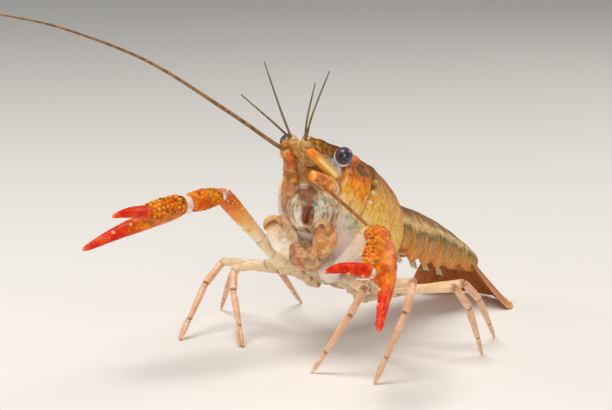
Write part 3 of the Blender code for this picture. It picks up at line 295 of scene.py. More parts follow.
def thorn(batch, place, outward, radius, reach, mark):
    """A pointed spine with a blunted tip, its foot sunk in the shell."""
    root = Vector(place) - Vector(outward).normalized() * radius
    cone(batch, root, outward, (radius, radius * 0.12), reach + radius, 8, mark)


HAIR, FINE_HAIR = 0.022, 0.02  # foot radii of the bristles, mm


def bristle(batch, root, way, reach, radius, mark):
    cone(batch, root, way, (radius, radius * 0.2), reach, 3, mark)


def lump(batch, centre, radii, turn=Matrix.Identity(4), mark=(0, 0, 0), across=24, rows=16):
    """An ellipsoid."""
    batch.rest(Batch.FULL)
    matrix = Matrix.Translation(centre) @ turn @ Matrix.Diagonal((*radii, 1))
    made = bmesh.ops.create_uvsphere(
        batch.bm, u_segments=across, v_segments=rows, radius=1, matrix=matrix
    )
    batch.label(made["verts"], mark)


def put(name, batch, material, nodes, in_trunk=False, mark_by_place=False):
    """Set a finished skin down in the row frame as a piece that stands for CAD nodes."""
    bm = batch.gathered()
    if mark_by_place:
        layer = bm.verts.layers.float_vector["mark"]
        for vert in bm.verts:
            vert[layer] = vert.co
    bmesh.ops.dissolve_degenerate(bm, edges=bm.edges, dist=1e-5)
    bmesh.ops.recalc_face_normals(bm, faces=bm.faces)
    if in_trunk:
        bmesh.ops.transform(bm, matrix=TRUNK, verts=bm.verts)
    bmesh.ops.translate(bm, vec=STANCE_ORIGIN, verts=bm.verts)
    bmesh.ops.scale(bm, vec=(METRES_PER_MM,) * 3, verts=bm.verts)
    mesh = bpy.data.meshes.new(name)
    bm.to_mesh(mesh)
    bm.free()
    mesh.shade_smooth()
    mesh.materials.append(material)
    piece = bpy.data.objects.new(name, mesh)
    bpy.context.scene.collection.objects.link(piece)
    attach(piece, "root")
    if nodes:
        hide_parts(*nodes)


# ---- finishes
NOISE_ROUGHNESS = 0.55


def tint(red, green, blue):
    """Linear colour from an 8-bit display one."""
    return (*(((c / 255 + 0.055) / 1.055) ** 2.4 for c in (red, green, blue)), 1)


class Finish:
    """A procedural finish and short ways of adding nodes to it. Lengths inside are mm."""

    def __init__(self, name, **constants):
        self.material = bpy.data.materials.new(name)
        self.material.use_nodes = True
        self.tree = self.material.node_tree
        self.shader = self.tree.nodes["Principled BSDF"]
        for key, value in constants.items():
            self.shader.inputs[key.replace("_", " ")].default_value = value
        attribute = self.node("Attribute", attribute_name="mark").outputs["Vector"]
        self.first, self.second, self.third = self.node("SeparateXYZ", {0: attribute}).outputs
        self.mark = attribute
        self.colour = None  # what the finish has been painted so far
        where = self.node("TexCoord").outputs["Object"]
        self.where = self.node("VectorMath", {0: where, "Scale": 1000.0}, operation="SCALE").outputs[0]

    def node(self, kind, inputs=None, **settings):
        made = self.tree.nodes.new("ShaderNode" + kind)
        for key, value in settings.items():
            setattr(made, key, value)
        for key, value in (inputs or {}).items():
            self.feed(made.inputs[key], value)
        return made

    def feed(self, socket, value):
        if isinstance(value, bpy.types.NodeSocket):
            self.tree.links.new(value, socket)
        else:
            socket.default_value = value

    def calc(self, operation, a, b=0.0, c=0.0):
        return self.node("Math", {0: a, 1: b, 2: c}, operation=operation).outputs[0]

    def times(self, *values):
        result = values[0]
        for value in values[1:]:
            result = self.calc("MULTIPLY", result, value)
        return result

    def step(self, value, low, high):
        """0 at low, 1 at high; low may be the greater."""
        inputs = {"Value": value, "From Min": low, "From Max": high}
        return self.node("MapRange", inputs, interpolation_type="SMOOTHSTEP").outputs[0]

    def band(self, value, low, high, soft):
        return self.times(
            self.step(value, low - soft, low + soft), self.step(value, high + soft, high - soft)
        )

    def scaled(self, value, factor, offset):
        return self.calc("MULTIPLY_ADD", value, factor, offset)

    def mix(self, factor, first, second):
        """Blend of two colours, each a socket or an 8-bit display colour."""
        made = self.node("Mix", data_type="RGBA")
        for index, value in ((0, factor), (6, first), (7, second)):
            self.feed(made.inputs[index], tint(*value) if isinstance(value, tuple) else value)
        return made.outputs[2]

    def paint(self, shade, *weights):
        """Lay a shade over what is there, as strongly as the product of the weights."""
        self.colour = self.mix(self.times(*weights), self.colour, shade)

    def ramp(self, value, *stops):
        """Colours between stops of (position, red, green, blue)."""
        made = self.node("ValToRGB", {0: value})
        elements = made.color_ramp.elements
        while len(elements) < len(stops):
            elements.new(0.5)
        for element, (position, *shade) in zip(elements, stops):
            element.position, element.color = position, tint(*shade)
        return made.outputs[0]

    def noise(self, scale, detail=3.0, vector=None, distortion=0.0):
        inputs = {
            "Vector": vector or self.where, "Scale": scale, "Detail": detail,
            "Roughness": NOISE_ROUGHNESS, "Distortion": distortion,
        }
        return self.node("TexNoise", inputs).outputs[0]

    def clouds(self, scale, detail, low, high):
        """Noise cut to patches."""
        return self.step(self.noise(scale, detail), low, high)

    def cells(self, scale, vector=None):
        inputs = {"Vector": vector or self.where, "Scale": scale}
        return self.node("TexVoronoi", inputs).outputs["Distance"]

    def vector(self, x, y, z):
        return self.node("CombineXYZ", {0: x, 1: y, 2: z}).outputs[0]

    def spot(self, places, radii, wobble):
        """1 within an ellipsoid of the marks' space, fading out at its edge."""
        offset = self.node("VectorMath", {0: self.mark, 1: places}, operation="SUBTRACT").outputs[0]
        shares = self.node("VectorMath", {0: offset, 1: radii}, operation="DIVIDE").outputs[0]
        distance = self.node("VectorMath", {0: shares}, operation="LENGTH").outputs["Value"]
        ragged = self.scaled(self.noise(1.8), wobble * 2, distance)
        return self.step(ragged, 1.25 + wobble, 0.7 + wobble)

    def finish(self, roughness, height, depth):
        """Feed the shader; height is turned to bumps depth mm deep.

        The roughness is a value or a noise given as (scale, spread, least).
        """
        if isinstance(roughness, tuple):
            scale, spread, least = roughness
            roughness = self.scaled(self.noise(scale), spread, least)
        self.feed(self.shader.inputs["Base Color"], self.colour)
        self.feed(self.shader.inputs["Roughness"], roughness)
        inputs = {"Height": height, "Strength": 1.0, "Distance": depth * METRES_PER_MM}
        self.feed(self.shader.inputs["Normal"], self.node("Bump", inputs).outputs[0])
        return self.material


def soft(weight, scale):
    """Constants of a shell that lets some light in."""
    return {
        "Subsurface_Weight": weight,
        "Subsurface_Radius": (1.0, 0.45, 0.2),
        "Subsurface_Scale": scale * METRES_PER_MM,
        "IOR": 1.45,
    }


# (mm ahead of the groove, degrees from the top), half sizes, colour
GROOVE_SPOTS = (
    ((4.6, 17), (1.8, 7), (94, 66, 20)),
    ((4.2, 46), (1.7, 5), (104, 76, 24)),
    ((6.9, 28), (1.9, 8), (232, 112, 2)),
    ((-0.9, 40), (1.5, 7), (128, 88, 34)),
    ((-0.6, 50), (0.6, 2.6), (214, 184, 116)),
    ((-0.2, 58), (0.8, 4.0), (66, 62, 30)),
    ((-0.5, 66), (0.5, 2.2), (234, 216, 176)),
    ((-0.3, 78), (0.5, 2.2), (244, 230, 206)),
)


def shell_finish():
    """Carapace and rostrum. Marks: mm ahead of the cervical groove, degrees from the top, knob."""
    f = Finish("olive and ochre shell", Specular_IOR_Level=0.2, **soft(0.15, 0.8))
    ahead, around, knobs = f.first, f.second, f.third
    turn = f.calc("DIVIDE", around, 180.0)
    uneven = f.calc("SUBTRACT", f.noise(0.5, 3), 0.5)
    turn = f.scaled(uneven, 0.12, turn)
    behind = f.ramp(
        turn, (0.0, 92, 50, 14), (0.13, 130, 70, 20), (0.25, 186, 112, 32), (0.36, 240, 170, 50),
        (0.5, 252, 204, 88), (0.6, 238, 212, 172), (0.7, 228, 210, 204), (1.0, 226, 208, 196),
    )
    front = f.ramp(
        turn, (0.0, 76, 48, 12), (0.12, 104, 60, 10), (0.24, 150, 78, 2), (0.36, 253, 142, 2),
        (0.46, 254, 184, 48), (0.53, 250, 216, 158), (0.62, 228, 216, 206), (1.0, 214, 196, 184),
    )
    f.colour = f.mix(f.step(ahead, -0.6, 0.9), behind, front)
    rings = f.noise(1.0, 3, f.vector(f.times(ahead, 3.6), f.times(around, 0.07), 0.0), distortion=0.4)
    pale = f.times(f.step(rings, 0.54, 0.66), f.band(around, 45, 125, 18), f.step(ahead, 0.5, -1.5))
    f.paint((252, 230, 168), pale, 0.7)
    dark = f.times(f.step(rings, 0.48, 0.38), f.step(around, 122, 60))
    f.paint((126, 68, 14), dark, 0.5)
    fleck = f.times(f.clouds(3.2, 2, 0.56, 0.66), f.step(ahead, 1.0, -0.5), f.step(around, 112, 84))
    f.paint((104, 62, 18), fleck, 0.6)
    light = f.times(f.clouds(2.6, 2, 0.42, 0.34), f.step(ahead, 0.5, -1.0), f.band(around, 30, 112, 14))
    f.paint((252, 214, 122), light, 0.6)
    blotch = f.times(f.clouds(0.8, 4, 0.52, 0.62), f.step(around, 120, 40))
    f.paint((122, 70, 20), blotch, 0.4)
    warm = f.times(f.clouds(0.7, 4, 0.46, 0.38), f.band(around, 30, 105, 12))
    f.paint((222, 126, 30), warm, 0.5)
    stripes = f.noise(1.0, 2, f.vector(f.times(ahead, 1.5), f.times(around, 0.02), 3.0))
    cheek = f.times(f.step(ahead, 4.2, 6.0), f.band(around, 50, 100, 10))
    f.paint((250, 220, 176), cheek, f.step(stripes, 0.48, 0.58), 0.75)
    red = f.times(f.band(ahead, 1.2, 7.5, 1.2), f.band(around, 20, 82, 10), f.clouds(0.85, 3, 0.5, 0.62))
    f.paint((206, 82, 0), red, 0.65)
    olive = f.times(f.step(ahead, 0.3, 1.5), f.band(around, 4, 58, 8), f.clouds(1.05, 4, 0.48, 0.58))
    f.paint((82, 58, 14), olive, 0.8)
    speck = f.times(f.step(f.cells(1.5), 0.3, 0.14), f.step(around, 120, 70))
    f.paint((84, 58, 18), speck, 0.5)
    pale_speck = f.step(f.cells(1.1, f.vector(ahead, f.times(around, 0.14), 7.0)), 0.24, 0.12)
    f.paint((246, 234, 214), pale_speck, f.band(around, 60, 100, 10), f.step(ahead, 1.0, 0.0), 0.8)
    patches = f.clouds(1.9, 3, 0.34, 0.46)
    for place, size, shade in GROOVE_SPOTS:
        f.paint(shade, f.spot((*place, 0.0), (*size, 9.0), wobble=0.7), patches, 0.8)
    green = f.times(f.band(ahead, -2.0, 4.0, 1.5), f.band(around, 94, 118, 7))
    f.paint((128, 158, 134), green, f.clouds(1.2, 3, 0.44, 0.6), 0.55)
    edge = f.step(f.calc("ABSOLUTE", ahead), 0.5, 0.1)
    f.paint((96, 62, 24), edge, f.step(around, 130, 80), 0.45)
    trench = f.times(f.band(ahead, -0.9, 0.1, 0.3), f.step(around, 78, 48))
    f.paint((92, 62, 26), trench, 0.5)
    beak = f.mix(f.clouds(1.5, 3, 0.4, 0.6), (122, 86, 26), (188, 132, 50))
    beak = f.mix(f.times(f.step(f.cells(1.4), 0.34, 0.2), 0.85), beak, (228, 110, 14))
    f.paint(beak, f.step(knobs, -0.4, -0.8))
    f.paint((236, 150, 50), f.step(knobs, 0.3, 0.9))
    granules = f.step(f.cells(2.6), 0.0, 0.5)
    height = f.scaled(f.noise(6.0, 4), 0.35, f.times(granules, -0.5))
    return f.finish((2.0, 0.35, 0.28), height, 0.1)


def abdomen_finish():
    """Marks: mm along the abdomen, degrees from the top, segment share."""
    f = Finish("abdomen plates", **soft(0.25, 1.0))
    reach, around, share = f.first, f.second, f.third
    wander = f.scaled(f.calc("SUBTRACT", f.noise(0.45, 3), 0.5), 22.0, around)
    turn = f.calc("DIVIDE", wander, 180.0)
    f.colour = f.ramp(
        turn, (0.0, 96, 62, 24), (0.2, 118, 76, 28), (0.29, 146, 98, 40), (0.33, 204, 172, 108),
        (0.36, 196, 160, 94), (0.4, 104, 96, 42), (0.46, 176, 122, 50), (0.62, 214, 138, 54),
        (0.8, 196, 112, 36), (1.0, 226, 190, 150),
    )
    bars = f.noise(1.0, 3, f.vector(f.times(reach, 1.7), f.times(around, 0.03), 0.0))
    f.paint((236, 190, 120), f.step(bars, 0.5, 0.66), 0.4)
    f.paint((104, 66, 24), f.clouds(1.3, 4, 0.52, 0.62), f.step(around, 150, 60), 0.5)
    f.paint((216, 128, 50), f.step(share, 0.86, 0.97), 0.6)
    height = f.scaled(f.noise(5.0, 4), 0.4, f.times(f.cells(2.2), -0.3))
    return f.finish((2.0, 0.3, 0.25), height, 0.08)


def fan_finish():
    """Marks: share of the length, place across from -1 to 1, blade."""
    f = Finish("tail fan", **soft(0.3, 0.8))
    rays = f.noise(1.0, 3, f.vector(f.times(f.second, 9.0), f.times(f.first, 1.2), f.third))
    f.colour = f.ramp(
        f.first, (0.0, 132, 80, 30), (0.35, 190, 112, 44), (0.8, 206, 122, 50), (1.0, 228, 170, 100),
    )
    f.paint((120, 74, 28), f.step(rays, 0.48, 0.62), 0.5)
    f.paint((88, 60, 24), f.clouds(1.4, 3, 0.55, 0.65), 0.4)
    height = f.scaled(rays, 0.8, f.times(f.noise(6.0, 3), 0.3))
    return f.finish((2.0, 0.3, 0.28), height, 0.08)


def claw_finish(name, red_from, red_full):
    """Hand or finger. Marks: share of the length, height round the section, knob colour."""
    f = Finish(name, Specular_IOR_Level=0.25, **soft(0.15, 0.8))
    share, height_round, knobs = f.first, f.second, f.third
    orange = f.mix(f.clouds(0.7, 3, 0.38, 0.62), (206, 80, 2), (238, 134, 14))
    olive = f.times(f.clouds(0.9, 3, 0.45, 0.6), f.step(height_round, -0.3, 0.5))
    orange = f.mix(f.times(olive, 0.6), orange, (112, 92, 20))
    red = f.mix(f.clouds(0.6, 2, 0.4, 0.65), (206, 26, 0), (232, 74, 12))
    f.colour = f.mix(f.step(share, red_from, red_full), orange, red)
    if red_full <= 1:
        f.paint((240, 150, 90), f.step(share, 0.965, 1.0), 0.6)
    f.paint((244, 166, 36), f.band(knobs, 0.5, 1.5, 0.2), 0.85)
    f.paint((84, 74, 24), f.band(knobs, 1.5, 2.5, 0.2), 0.85)
    f.paint((240, 190, 140), f.band(knobs, 2.5, 3.5, 0.2), 0.85)
    length_lines = f.noise(1.0, 3, f.vector(f.times(share, 3.0), f.times(height_round, 2.5), 1.0))
    height = f.scaled(f.noise(4.0, 4), 0.5, f.times(length_lines, 0.6))
    return f.finish((1.8, 0.28, 0.22), height, 0.09)


def arm_finish(name, reach, pale):
    """Long piece of the claw arm: pale near the body, orange from there on as far as it reaches."""
    f = Finish(name, **soft(0.35, 1.0))
    share, height_round, knobs = f.first, f.second, f.third
    waver = f.scaled(f.calc("SUBTRACT", f.noise(0.6, 3), 0.5), 0.5, share)
    f.colour = f.ramp(
        f.times(waver, reach), (0.0, *pale), (0.3, 240, 208, 166), (0.55, 240, 176, 96),
        (0.8, 228, 128, 40), (1.0, 206, 92, 20),
    )
    mottle = f.times(f.step(share, 0.3, 0.8), f.step(height_round, -0.5, 0.4))
    f.paint((128, 84, 24), mottle, f.clouds(1.3, 4, 0.52, 0.64), 0.6)
    f.paint((248, 196, 90), f.step(knobs, 0.5, 0.9))
    height = f.scaled(f.noise(3.5, 4), 0.8, f.times(f.cells(2.4), -0.3))
    return f.finish((1.6, 0.3, 0.24), height, 0.09)


def limb_finish():
    """Walking legs: pale and translucent with brown joints and painted white highlights. Marks: share,
    height round, joint.
    """
    f = Finish("walking leg shell", **soft(0.45, 1.2))
    share, height_round, kind = f.first, f.second, f.third
    lines = f.noise(1.0, 3, f.vector(f.times(share, 2.0), f.times(height_round, 2.2), kind))
    tan = f.mix(f.step(lines, 0.3, 0.7), (212, 164, 124), (230, 190, 158))
    pale = f.mix(f.step(lines, 0.3, 0.7), (222, 188, 142), (238, 218, 186))
    f.colour = f.mix(f.step(kind, 1.2, 1.8), pale, tan)
    ends = f.calc("MAXIMUM", f.step(share, 0.09, 0.0), f.step(share, 0.93, 1.0))
    f.paint((164, 92, 48), ends, 0.75)
    f.paint((172, 116, 74), f.clouds(1.3, 3, 0.54, 0.7), 0.35)
    # near-white patches at random: painted highlights on the leg shell
    f.paint((244, 230, 216), f.clouds(0.9, 3, 0.56, 0.7), 0.5)
    height = f.scaled(f.noise(3.0, 4), 0.4, f.times(lines, 0.3))
    return f.finish((1.8, 0.3, 0.25), height, 0.08)


MOUTH, FOLDS = (0.9, -3.9), 8.4  # place across and up, mm; how closely the folds round it follow
# place in the trunk frame, half sizes, colour, strength; most are the face's own colours, a few are
# painted highlight, glint and shade
FACE_SPOTS_AND_PAINTED_LIGHT = (
    ((28.6, -3.9, -2.4), (2.4, 1.3, 2.8), (172, 100, 48), 0.8),
    ((30.0, 0.35, -1.4), (2.8, 1.75, 1.5), (166, 114, 72), 0.9),
    # painted shade along the lower edge of the upper lip's dome
    ((30.2, 0.4, -2.3), (2.6, 1.3, 0.5), (112, 66, 36), 0.6),
    # painted highlight near the top of the upper lip's dome
    ((31.3, -0.4, -0.6), (1.6, 0.9, 0.55), (244, 230, 208), 0.9),
    ((30.8, 4.6, -1.3), (1.8, 1.3, 0.8), (232, 214, 170), 0.6),
    ((30.4, 3.4, -1.5), (1.6, 0.8, 0.3), (120, 182, 174), 0.55),
    ((28.6, 0.95, -4.2), (2.4, 1.1, 1.7), (122, 58, 18), 0.97),
    ((31.4, 0.4, 0.7), (1.8, 2.4, 0.8), (200, 138, 76), 0.8),
    ((31.2, -3.0, -0.9), (2.8, 1.6, 2.4), (190, 112, 40), 0.9),
    ((29.5, -4.6, -3.2), (2.2, 1.0, 2.4), (202, 140, 74), 0.7),
    ((32.0, 4.4, -0.2), (1.8, 1.4, 0.8), (230, 166, 84), 0.8),
    ((31.6, -0.6, 2.5), (1.6, 0.8, 0.6), (200, 84, 20), 0.6),
    ((29.9, -1.9, 0.0), (1.5, 0.75, 0.42), (232, 212, 194), 0.9),
    ((29.0, 2.0, -2.5), (1.9, 0.45, 0.3), (58, 168, 160), 0.9),
    ((27.4, 0.8, -7.2), (2.4, 2.6, 1.0), (224, 168, 102), 0.85),
    # painted glint: a near-white fleck beside the mouth opening
    ((27.6, -0.5, -5.9), (1.4, 0.8, 0.6), (250, 240, 222), 0.85),
    # painted shade standing for the mouth opening, a dark patch on the closed face
    ((27.3, 0.8, -6.4), (2.0, 0.6, 0.5), (100, 46, 18), 0.85),
)


def mouth_finish():
    """Face, mouthparts and underside. Marks: place in the trunk frame, mm."""
    f = Finish("mouth and underside", **soft(0.4, 1.0))
    forward, aside, rise = f.first, f.second, f.third
    base = f.mix(f.clouds(0.8, 4, 0.42, 0.58), (200, 168, 128), (242, 226, 200))
    blush = f.clouds(0.6, 3, 0.48, 0.62)
    f.colour = f.mix(f.times(blush, 0.5), base, (200, 148, 96))
    strands = f.noise(1.0, 3, f.vector(f.times(aside, 2.6), f.times(rise, 0.55), forward), distortion=0.5)
    beside = f.times(f.band(rise, -6.6, -0.2, 0.6), f.step(forward, 25.5, 27.0))
    f.paint((152, 104, 60), beside, f.step(strands, 0.47, 0.38), 0.45)
    f.paint((253, 246, 234), beside, f.step(strands, 0.54, 0.64), 0.65)
    f.paint((184, 118, 50), f.band(rise, 0.3, 2.9, 0.6), 0.85)
    between = f.times(f.step(rise, 2.4, 3.2), f.step(aside, 2.2, 1.2))
    f.paint((158, 112, 56), between, 0.9)
    f.paint((204, 210, 208), f.step(rise, 2.8, 3.8), f.step(aside, 1.2, 2.2), 0.8)
    across, down = f.calc("SUBTRACT", aside, MOUTH[0]), f.calc("SUBTRACT", rise, MOUTH[1])
    away = f.calc("SQRT", f.calc("ADD", f.times(across, across), f.times(down, down)))
    wave = f.calc("SINE", f.scaled(f.noise(0.45, 3), 16.0, f.times(away, FOLDS)))
    mouth_side = f.times(f.band(away, 1.9, 5.4, 0.4), f.step(rise, -0.3, -1.3))
    broken = f.times(mouth_side, f.step(forward, 24.5, 26.0), f.clouds(0.9, 3, 0.42, 0.6))
    f.paint((158, 118, 84), broken, f.step(wave, -0.4, -0.95), 0.35)
    f.paint((248, 240, 226), broken, f.step(wave, 0.65, 0.98), 0.75)
    # the face's own colours, and the painted highlight, glint and shade on the upper lip and round the
    # mouth opening
    for place, size, shade, share in FACE_SPOTS_AND_PAINTED_LIGHT:
        f.paint(shade, f.spot(place, size, wobble=0.3), share)
    flank = f.times(f.step(aside, -1.4, -2.4), f.band(rise, -6.0, 1.2, 0.8), f.step(forward, 26.0, 27.5))
    f.paint((122, 72, 30), flank, f.step(strands, 0.52, 0.62), 0.5)
    f.paint((236, 206, 164), flank, f.step(strands, 0.46, 0.36), 0.55)
    height = f.scaled(f.noise(3.0, 4), 0.6, f.times(f.cells(1.6), -0.15))
    return f.finish((1.6, 0.3, 0.2), height, 0.08)


def mouthpart_finish():
    """Third maxillipeds and mouth lobes. Marks: share, height round the section, tag."""
    f = Finish("mouthpart shell", **soft(0.5, 1.2))
    share, height_round, tag = f.first, f.second, f.third
    pale = f.mix(f.clouds(0.5, 3, 0.42, 0.6), (226, 200, 148), (250, 242, 226))
    brown = f.mix(f.clouds(0.8, 3, 0.42, 0.6), (204, 134, 70), (228, 182, 124))
    f.colour = f.mix(f.step(tag, 0.4, 0.6), pale, brown)
    bow = f.scaled(f.times(height_round, height_round), -0.35, share)
    arcs = f.calc("SINE", f.scaled(f.noise(0.6, 3), 9.0, f.times(bow, 52.0)))
    patchy = f.clouds(0.8, 3, 0.44, 0.62)
    f.paint((248, 240, 222), f.step(arcs, 0.2, 1.0), patchy, 0.45)
    f.paint((176, 112, 56), f.step(arcs, -0.6, -1.0), patchy, 0.45)
    rim = f.calc("MAXIMUM", f.step(height_round, 0.8, 0.97), f.step(share, 0.9, 0.97))
    f.paint((150, 98, 48), rim, 0.75)
    f.paint((214, 160, 98), f.step(share, 0.55, 0.95), f.step(tag, 0.6, 0.4), 0.4)
    f.paint((206, 156, 104), f.clouds(0.8, 3, 0.6, 0.7), 0.25)
    f.paint((150, 96, 58), f.step(share, 0.3, 0.0), f.step(tag, 0.4, 0.6), 0.8)
    basal = f.mix(f.clouds(0.9, 4, 0.4, 0.6), (176, 108, 58), (222, 174, 132))
    f.paint(basal, f.step(tag, 1.4, 1.6), 0.9)
    height = f.scaled(f.noise(3.0, 4), 0.5, f.times(arcs, 0.15))
    return f.finish((1.6, 0.3, 0.2), height, 0.06)


def feeler_finish(name, dark, light, rings):
    """Antennae and antennules. Marks: share, height round, length in mm."""
    f = Finish(name, **soft(0.2, 0.6))
    wave = f.calc("SINE", f.times(f.first, f.third, rings))
    f.colour = f.mix(f.clouds(0.9, 3, 0.4, 0.6), dark, light)
    f.paint((92, 48, 20), f.step(wave, 0.5, 1.0), 0.45)
    height = f.scaled(f.noise(4.0, 3), 0.3, f.times(wave, 0.4))
    return f.finish((1.5, 0.2, 0.35), height, 0.08)


def stem_finish():
    """Antenna stems: olive, orange and teal patches. Marks: share, height round, how plain."""
    f = Finish("antenna stem", **soft(0.25, 0.8))
    share, plain = f.first, f.third
    f.colour = f.mix(f.clouds(0.9, 4, 0.4, 0.6), (214, 114, 22), (242, 182, 72))
    olive = f.mix(f.clouds(0.9, 4, 0.4, 0.6), (158, 98, 40), (216, 150, 76))
    f.paint(olive, plain)
    dark = f.times(f.clouds(1.4, 4, 0.5, 0.62), f.scaled(plain, 0.3, 0.3))
    f.paint((112, 76, 28), dark)
    red = f.times(f.clouds(1.1, 3, 0.46, 0.56), f.band(share, 0.55, 0.95, 0.08))
    f.paint((218, 70, 8), red, 0.85)
    lines = f.calc("SINE", f.scaled(f.noise(0.9, 2), 5.0, f.times(share, 44.0)))
    base = f.times(f.step(share, 0.35, 0.1), f.calc("SUBTRACT", 1.0, plain))
    f.paint((238, 232, 214), base, f.step(lines, 0.2, 0.7), 0.7)
    f.paint((96, 168, 164), base, f.step(lines, -0.55, -0.85), 0.7)
    height = f.times(f.noise(3.5, 4), 0.7)
    return f.finish((1.6, 0.3, 0.22), height, 0.1)


def scale_finish():
    """Antenna scale: an orange rib with a pale cream middle, partly its own colour and partly a painted
    highlight. Marks: share, height round, tan tip.
    """
    f = Finish("antenna scale", **soft(0.3, 0.8))
    share, height_round = f.first, f.second
    f.colour = f.ramp(
        share, (0.0, 230, 190, 100), (0.25, 240, 186, 80), (0.6, 244, 166, 44), (1.0, 230, 122, 18),
    )
    # cream band down the middle of the rod: partly its own colour, partly a painted highlight as on a lit
    # tube
    cream = f.times(f.band(height_round, -0.55, 0.05, 0.16), f.band(share, 0.1, 0.78, 0.1))
    f.paint((252, 236, 184), cream, 0.85)
    f.paint((178, 122, 54), f.third, f.step(share, 0.5, 0.75), 0.85)
    height = f.times(f.noise(4.0, 3), 0.4)
    return f.finish((1.6, 0.2, 0.2), height, 0.08)


def cornea_finish():
    """Eye. Marks: place round the eye's centre, as shares of its radius, towards its outlook."""
    f = Finish("dark cornea", IOR=1.45, Coat_Weight=0.6, Coat_Roughness=0.08)
    outlook = f.third
    facets = f.cells(9.0)
    f.colour = f.ramp(
        outlook, (0.0, 176, 158, 160), (0.16, 92, 68, 92), (0.7, 66, 44, 70), (0.84, 54, 36, 62),
        (0.91, 8, 6, 10),
    )
    f.paint((84, 62, 92), f.clouds(3.0, 3, 0.45, 0.65), 0.35)
    return f.finish(f.scaled(facets, 0.2, 0.3), f.times(facets, 0.3), 0.02)


def membrane_finish():
    """Soft pale skin in the joints."""
    f = Finish("joint skin", **soft(0.5, 1.0))
    f.colour = f.mix(f.clouds(1.2, 3, 0.42, 0.62), (222, 196, 180), (244, 232, 222))
    f.paint((206, 92, 24), f.first)
    folds = f.noise(2.5, 4, distortion=0.6)
    return f.finish((2.0, 0.25, 0.15), folds, 0.12)


def stalk_finish():
    """Eyestalk: pale and bluish, olive above. Marks: share, height round, tag."""
    f = Finish("eyestalk", **soft(0.4, 0.8))
    f.colour = f.mix(f.clouds(1.4, 3, 0.42, 0.6), (176, 190, 192), (236, 232, 228))
    f.paint((158, 118, 62), f.step(f.second, 0.1, 0.7), 0.8)
    return f.finish((1.5, 0.25, 0.2), f.noise(4.0, 3), 0.06)


# ---- carapace
def section_point(x, angle):
    """Point of the carapace's skin at x, angle in radians from the top to the left side."""
    above = cos(angle) > 0
    power = 2 / (TOP_POWER if above else BOTTOM_POWER)
    height = smooth(TOP if above else BOTTOM, x)
    side, rise = sin(angle), cos(angle)
    return Vector((
        x,
        smooth(HALF_WIDTH, x) * copysign(abs(side) ** power, side),
        height * copysign(abs(rise) ** power, rise),
    ))


def front_edge(angle):
    """Point of the carapace's front edge, which slants back towards the mouth."""
    point = section_point(BROW_X, angle)
    for _ in range(6):
        x = BROW_X - BROW_SLOPE * (smooth(TOP, BROW_X) - point.z)
        point = section_point(x, angle)
    return point


def from_top(angle):
    """Degrees from the top, the same on both sides."""
    degrees = math.degrees(angle) % 360
    return min(degrees, 360 - degrees)


ORBIT_DEGREES, ORBIT_WIDTH, ORBIT_DEPTH = 52, 15, 0.9
CARAPACE_COLUMNS, CARAPACE_REAR_ROWS, CARAPACE_FRONT_ROWS = 160, 70, 50
REAR_CROWDING, FRONT_CROWDING = 1.3, 1.15  # how much closer the rows lie towards the groove


def shoulder(x, degrees):
    """Height of the swelling behind an eye, mm."""
    return SHOULDER_HEIGHT * hill(x, SHOULDER_X, 2.4) * hill(degrees, SHOULDER_DEGREES, 11)


def shell_relief(x, ahead, degrees):
    """Height of the carapace's relief in mm."""
    side_fade = 1 - ease(degrees, 138, 158)
    relief = -0.42 * hill(ahead, 0, 0.42) * side_fade
    relief += 0.14 * hill(ahead, -1.0, 0.5) * side_fade
    relief -= 0.16 * hill(x, REAR_X + 1.1, 0.28)
    relief -= 0.12 * hill(degrees, 158, 3.5) * ease(x, 3, 6)
    if ahead < 0:
        relief -= 0.2 * hill(degrees, 0, 1.6 + 3.0 * hill(x, REAR_X, 3) + 3.0 * hill(ahead, 0, 2.5))
    else:
        relief += shoulder(x, degrees)
        relief += 0.2 * hill(degrees, 42, 6) * ease(x, 23.5, 26.5) * (1 - ease(x, 29.2, 30.4))
        relief += 0.18 * hill(degrees, 78, 13) * hill(ahead, 3.2, 1.8)
        relief -= 0.12 * hill(degrees, 60, 6) * hill(ahead, 4.5, 2.5)
        relief += 0.14 * hill(degrees, 98, 5) * hill(x, 27.5, 1.6)
    return relief


def carapace_spot(x, degrees, side):
    """Place and outward direction on the carapace."""
    angle = radians(degrees) * side
    place = section_point(x, angle)
    ahead = section_point(x + 0.1, angle) - place
    sidelong = section_point(x, angle + 0.02 * side) - place
    outward = ahead.cross(sidelong).normalized()
    if outward.y * place.y + outward.z * place.z < 0:
        outward.negate()
    return place + outward * shoulder(x, degrees), outward


# x, degrees from the top, reach, foot radius
CARAPACE_THORNS = (
    (30.0, 42, 0.7, 0.28),
    (27.6, 42, 0.35, 0.25),
    (25.6, 41, 0.3, 0.25),
    (20.9, 80, 0.6, 0.26),
    (21.9, 87, 0.35, 0.2),
    (23.6, 74, 0.3, 0.18),
    (28.4, 84, 0.4, 0.22),
    (27.4, 96, 0.55, 0.26),
)


def shrunk(point, onward, share):
    """A point of the trunk moved onward and drawn in towards the middle."""
    return Vector((point.x + onward, point.y * share, point.z * share))


def shell_knob(batch, chance, x, degrees, side, sizes, flatness, tones):
    """A granule of the carapace in one of its tones."""
    place, outward = carapace_spot(x, degrees, side)
    size = chance.uniform(*sizes)
    mark = (x - smooth(GROOVE, degrees), degrees, chance.choice(tones))
    knob(batch, place, outward, size, size * flatness, mark)


